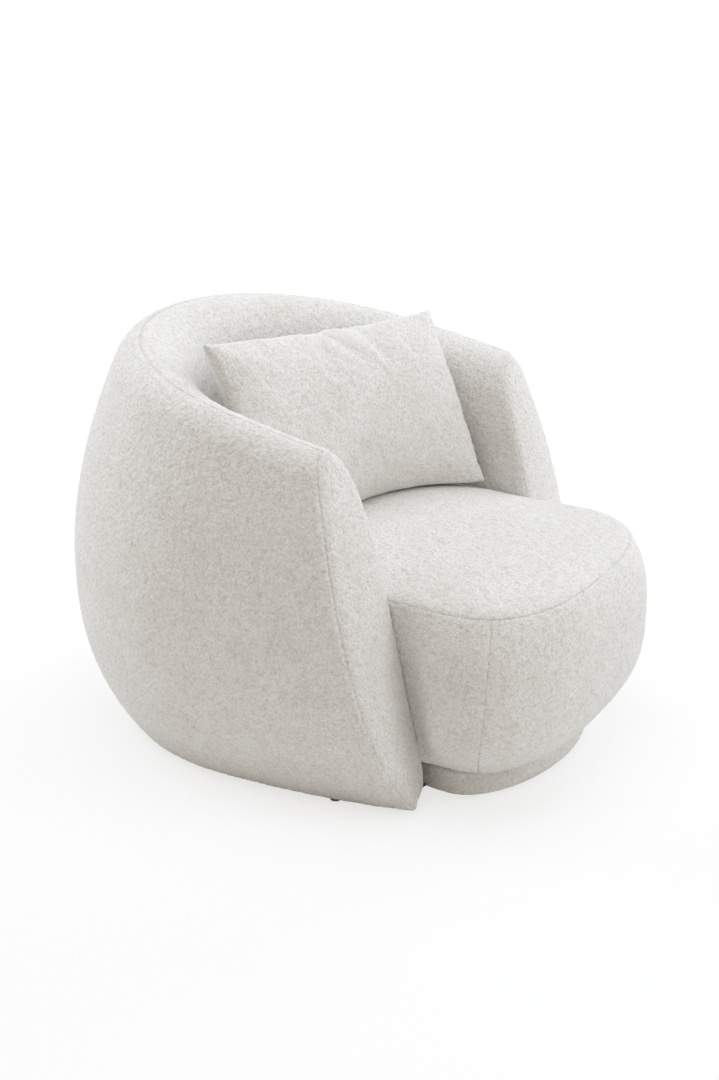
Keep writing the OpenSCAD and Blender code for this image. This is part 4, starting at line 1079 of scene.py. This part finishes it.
# %% Filling of the cushion
FILL_STEP, FILL_IN, FILL_LUMPS = 3, 0.0045, 0.0012
front, back = front[::FILL_STEP, ::FILL_STEP], back[::FILL_STEP, ::FILL_STEP]
points = joined(front, back)
filling = new_mesh("cushion_down_bag", points, pillow_quads(pillow_numbers(*front.shape[:2])))
lumps = -FILL_IN - FILL_LUMPS * (1 + smooth_noise(points, 0.05, 3.3))
put_points(filling, raised(filling, points, lumps))
dress(filling, down_bag, "cushion", "cushion_filling")

# %% [markdown]
# ## Foam pads inside
# Nothing of the foam shows, but a reader may hide the covers. Each pad is a copy of its CAD solid,
# remeshed in small even steps and smoothed, so its cut edges come out rounded as in soft foam.

# %% Foam pads
def copy_of(node_name, name):
    """A copy of a CAD solid as a new piece, with its loose triangles merged."""
    mesh = frame["nodes"][node_name].data.copy()
    mesh.name = name
    mesh.materials.clear()
    work = bmesh.new()
    work.from_mesh(mesh)
    bmesh.ops.remove_doubles(work, verts=work.verts, dist=1e-5)
    work.to_mesh(mesh)
    work.free()
    return linked(name, mesh)


def foam_pad(name, node_name, voxel):
    """The CAD pad remeshed in steps of voxel and smoothed, as a piece of foam."""
    piece = copy_of(node_name, name)
    remesh = piece.modifiers.new("even_steps", "REMESH")
    remesh.mode, remesh.voxel_size, remesh.use_smooth_shade = "VOXEL", voxel, True
    rounding = piece.modifiers.new("rounding", "SMOOTH")
    rounding.factor, rounding.iterations = 0.5, 3
    found = piece.evaluated_get(bpy.context.evaluated_depsgraph_get())
    mesh, old = bpy.data.meshes.new_from_object(found), piece.data
    piece.modifiers.clear()
    piece.data = mesh
    bpy.data.meshes.remove(old)
    mesh.name = name
    dress(piece, foam, "chair", node_name)


for name, node_name, voxel in (
        ("foam_outer", "outer_pad", 0.0100), ("foam_inner", "inner_pad", 0.0100),
        ("foam_crest", "crest_roll", 0.0070), ("foam_arm_left", "arm_pad_left", 0.0070),
        ("foam_arm_right", "arm_pad_right", 0.0070), ("foam_seat_top", "seat_topper", 0.0100),
        ("foam_seat_core", "seat_core", 0.0120), ("foam_seat_side", "seat_side_pad", 0.0080)):
    foam_pad(name, node_name, voxel)

# %% [markdown]
# ## Cloth sheets, webbing and the timber frame
# Backing cloth is stretched over the uprights and a dust cloth closes the underside. Both are thin
# sheets, cut flat and tacked down. The straps of the seat are woven tape. The timber keeps its CAD
# solids and only gets its finish: beech plywood with its plies on the edges.

# %% Backing cloth
BACKING_DEPTH, BACKING_T, RAIL_TOP, FRAME_BACK, ROLL_LOW = 0.0297, 0.0016, 0.0304, 0.0329, 0.0534
BACKING_ROWS, BACKING_STEP = 48, 0.014


station = evened(lambda t: wall(t, np.full_like(t, 0.45), 1), -1, 1, BACKING_STEP)
heights = mix(RAIL_TOP, rim_at(station, FRAME_BACK) - ROLL_LOW,
              np.linspace(0, 1, BACKING_ROWS)[:, None])
stations = np.broadcast_to(station, heights.shape)
outer, inner = (wall_at_height(stations, heights, 1, BACKING_DEPTH + deep, FRAME_BACK)
                for deep in (0, BACKING_T))
backing = skin_mesh("backing_sheet", outer, inner)
backing_finish = woven("backing_cotton", (0.60, 0.52, 0.40), (0.76, 0.68, 0.54), 0.0016)
dress(backing, backing_finish, "chair", "backing_cloth")

# %% Dust cloth and webbing
dust = copy_of("dust_cloth", "dust_sheet")
dust_finish = woven("dust_fibre", (0.07, 0.07, 0.08), (0.13, 0.13, 0.14), 0.0022, 0.95)
dress(dust, dust_finish, "chair", "dust_cloth")
areas = np.empty(len(dust.data.polygons))
dust.data.polygons.foreach_get("area", areas)
strap_finish = woven("strap_elastic", (0.11, 0.11, 0.125), (0.20, 0.20, 0.225), 0.0024)
for way in ("lengthways", "crossways"):
    straps = copy_of("webbing_" + way, "straps_" + way)
    dress(straps, strap_finish, "chair", "webbing_" + way)

# %% Finishes of the frame, its bolts and glides
def ply_finish():
    """Beech plywood: long grain as stretched noise, and thin plies where a face stands upright."""
    material = grained("beech_ply", (0.68, 0.52, 0.34), (0.86, 0.71, 0.50), 7.0, 0.55, 0.0006,
                       (1.0, 9.0, 9.0), 6.0)
    tree = material.node_tree
    base = tree.nodes["Principled BSDF"].inputs["Base Color"]
    plies = node(tree, "TexWave", {"bands_direction": "Z"}, Vector=object_place(tree), Scale=112.0,
                 Distortion=0.4, Detail=1.0)
    bands = ramp(tree, plies.outputs["Fac"], (0.3, (0.62, 0.55, 0.48)), (0.6, (1, 1, 1)))
    normal = node(tree, "SeparateXYZ", Vector=node(tree, "NewGeometry").outputs["Normal"])
    upright = maths(tree, "LESS_THAN", maths(tree, "ABSOLUTE", normal.outputs["Z"]), 0.5)
    feed(tree, base, times(tree, base.links[0].from_socket, bands, upright))
    return material


finishes = {
    "plywood": ply_finish(),
    "bent_board": grained("bent_board", (0.54, 0.40, 0.26), (0.68, 0.52, 0.35), 11.0, 0.6, 0.0005,
                          (1, 1, 12)),
    "steel": grained("zinc_steel", (0.54, 0.55, 0.57), (0.70, 0.71, 0.73), 160, 0.35, 0.0001,
                     metal=1.0),
    "plastic": grained("moulded_plastic", (0.10, 0.10, 0.11), (0.145, 0.145, 0.155), 260, 0.5,
                       0.0002),
    "looped_cloth": cloth, "foam": foam, "filling": down_bag, "webbing": strap_finish,
    "backing_cloth": backing_finish, "dust_cloth": dust_finish}
for part in frame["record"]["subparts"]:
    solid = frame["nodes"][part["node"]].data
    solid.materials.clear()
    solid.materials.append(finishes[part["material_slot"]])

# %% [markdown]
# ## Zip of the cushion
# The left seam of the cushion holds a zip. Its tape carries two rows of small teeth, and the slider
# has a narrow waist and a flat pull. Both are worked out in the zip's own upright directions and
# then placed with the cushion.

# %% Zip tape
ZIP_LENGTH, ZIP_DROP, ZIP_W, TOOTH, TEETH_HALF_W = 0.150, 0.022, 0.005, 0.0015, 0.0016
TAPE_IN, TAPE_OUT, TOOTH_OUT, TAPE_ROWS, TAPE_COLUMNS = 0.0009, 0.0013, 0.0009, 401, 13
zip_end = 2 * (ZIP_DROP + ZIP_LENGTH / 2) / CUSHION_H
ZIP_X = -CUSHION_W / 2 + CUSHION_SIDE_DRAW * (1 - zip_end ** CUSHION_POWER)
ZIP_LEAN = math.atan(SLUMP / (CUSHION_H + TIP / 2))


def zip_placed(x, y, z):
    """From the zip's own directions (x outwards, z along it) to the place in the cushion's edge."""
    x, y, z = np.broadcast_arrays(-x, y, z - ZIP_DROP)
    c, s = math.cos(ZIP_LEAN), math.sin(ZIP_LEAN)
    upright = np.stack([ZIP_X + x * c - z * s, y, CUSHION_H / 2 + TIP / 4 + x * s + z * c], -1)
    return leaned(upright) + [0, 0, CUSHION_Z]


along = np.linspace(-0.5, 0.5, TAPE_ROWS)[:, None] * ZIP_LENGTH
across = np.linspace(-0.5, 0.5, TAPE_COLUMNS)[None, :] * ZIP_W
teeth = 0.5 + 0.5 * np.sin(2 * math.pi * along / TOOTH + np.where(across > 0, math.pi, 0))
teeth = np.where(np.abs(across) < TEETH_HALF_W, teeth, 0.0)
face = zip_placed(TAPE_OUT + TOOTH_OUT * teeth, across, along)
tape = skin_mesh("zip_teeth", face, zip_placed(TAPE_IN, across, along[::100]))
zip_finish = grained("zip_nylon", (0.10, 0.10, 0.11), (0.20, 0.20, 0.21), 300, 0.45, 0.0001)
dress(tape, zip_finish, "cushion", "zip_tape")

# %% Zip slider
def rounded_block(centre, half, waist):
    """Closed rounded block: a power of sine and cosine round its axis, narrowed at the waist."""
    v = np.linspace(0, math.pi, 19)[:, None]
    t = np.linspace(0, 2 * math.pi, 33)[None, :-1]
    swell = np.maximum(np.sin(v), 1e-4) ** 0.3
    narrow = 1 - waist * hill(np.cos(v), 0.35)
    x = centre[0] + half[0] * swell * signed_power(np.cos(t), 0.6)
    y = centre[1] + half[1] * swell * narrow * signed_power(np.sin(t), 0.6)
    return zip_placed(x, y, centre[2] - half[2] * signed_power(np.cos(v), 0.8))


blocks = np.stack([rounded_block((0.0042, 0, -0.069), (0.0014, 0.0024, 0.0058), 0.3),
                   rounded_block((0.0061, 0, -0.0715), (0.0004, 0.0016, 0.0075), 0.15)])
rows, columns = blocks.shape[1:3]
quads = np.concatenate([grid_quads(rows, columns, k * rows * columns, wrap=True) for k in (0, 1)])
slider = new_mesh("zip_pull", blocks, quads)
closing = bmesh.new()
closing.from_mesh(slider.data)
bmesh.ops.holes_fill(closing, edges=[edge for edge in closing.edges if edge.is_boundary])
bmesh.ops.recalc_face_normals(closing, faces=closing.faces)
closing.to_mesh(slider.data)
closing.free()
dress(slider, finishes["steel"], "slider", "zip_slider")

# %% [markdown]
# ## Stage, light and camera
# The chair stands on a plain white floor. Large soft lamps behind, to the right, above and in front
# light it, so the side that faces the camera stays a little darker, as in a light tent. The
# background is white for the camera's own rays and for mirrored ones, and adds no light.

# %% Floor and world
def background_rays(tree):
    """1 for the rays that show the background: the camera's, mirrored and refracted ones."""
    rays = node(tree, "LightPath").outputs
    mirrored = maths(tree, "MAXIMUM", rays["Is Glossy Ray"], rays["Is Transmission Ray"])
    return maths(tree, "MAXIMUM", rays["Is Camera Ray"], mirrored)


def blended(tree, share, lit, seen, output):
    """Sends the output share of the seen shader and the rest of the lit one."""
    blend = node(tree, "MixShader", Fac=share)
    for socket, shader in zip(blend.inputs[1:], (lit, seen)):
        tree.links.new(shader.outputs[0], socket)
    tree.links.new(blend.outputs["Shader"], tree.nodes[output].inputs["Surface"])


FLOOR_REACH, FLOOR_NEAR, FLOOR_FAR, FLOOR_SEEN = 60, 0.7, 2.6, 0.72
corners = [(x * FLOOR_REACH, y * FLOOR_REACH, 0) for x, y in ((-1, -1), (1, -1), (1, 1), (-1, 1))]
floor = new_mesh("floor", corners, [(0, 1, 2, 3)])
floor_white, tree, shader = fresh_material("floor_white", 0.95)
shader.inputs["Base Color"].default_value = (0.93, 0.93, 0.93, 1)
far_off = node(tree, "MapRange", {"interpolation_type": "SMOOTHSTEP"}, From_Min=FLOOR_NEAR,
               From_Max=FLOOR_FAR, To_Min=FLOOR_SEEN, To_Max=1.0,
               Value=maths(tree, "LENGTH", object_place(tree), kind="VectorMath"))
share = maths(tree, "MULTIPLY", far_off.outputs["Result"], background_rays(tree))
white = node(tree, "Emission", Color=(1, 1, 1, 1), Strength=1.0)
blended(tree, share, shader, white, "Material Output")
floor.data.materials.append(floor_white)

scene = bpy.context.scene
world = scene.world = bpy.data.worlds.new("studio")
world.use_nodes = True
tree = world.node_tree
warm = tree.nodes["Background"]
warm.inputs["Color"].default_value = (1.0, 0.90, 0.74, 1)
warm.inputs["Strength"].default_value = 0.45
clear = node(tree, "Background", Color=(1, 1, 1, 1), Strength=1.0)
blended(tree, background_rays(tree), warm, clear, "World Output")

# %% Lamps
def aimed(thing, place, target):
    """Puts a lamp or camera at place, turned so that it looks at target with its top upwards."""
    turned = (Vector(target) - Vector(place)).to_track_quat("-Z", "Y").to_matrix().to_4x4()
    thing.matrix_world = Matrix.Translation(place) @ turned
    scene.collection.objects.link(thing)


LAMP_COLOUR, LAMP_TARGET = (0.80, 0.88, 1.0), (0, 0, 0.35)
for name, place, size, power in (("lamp_rear_left", (-0.6, 3.4, 1.9), 2.4, 64),
                                 ("lamp_right", (3.7, -0.9, 1.6), 2.4, 70),
                                 ("lamp_above", (-0.2, 0.0, 3.6), 3.0, 59),
                                 ("lamp_front", (0.6, -3.4, 2.4), 1.6, 39)):
    light = bpy.data.lights.new(name, "AREA")
    light.shape, light.size, light.energy, light.color = "SQUARE", size, power, LAMP_COLOUR
    aimed(bpy.data.objects.new(name, light), place, LAMP_TARGET)
print("lamps", len(bpy.data.lights))

# %% Camera
CAMERA_AZ, CAMERA_EL, CAMERA_FAR = math.radians(-60.7118), math.radians(20.8658), 3.14734
LOOK_AT = (-0.00439, -0.0126, 0.33613)
FOCAL_PIXELS, FRAME_PIXELS, SENSOR_MM = 1718.14, 1080, 36.0
level = math.cos(CAMERA_EL)
towards = Vector((math.sin(CAMERA_AZ) * level, -math.cos(CAMERA_AZ) * level, math.sin(CAMERA_EL)))
camera_data = bpy.data.cameras.new("camera")
camera_data.sensor_fit, camera_data.sensor_height = "VERTICAL", SENSOR_MM
camera_data.lens = SENSOR_MM * FOCAL_PIXELS / FRAME_PIXELS
scene.camera = bpy.data.objects.new("camera", camera_data)
aimed(scene.camera, Vector(LOOK_AT) + CAMERA_FAR * towards, LOOK_AT)
scene.view_settings.view_transform = "Standard"
print("camera with a lens of", round(camera_data.lens, 2), "mm")
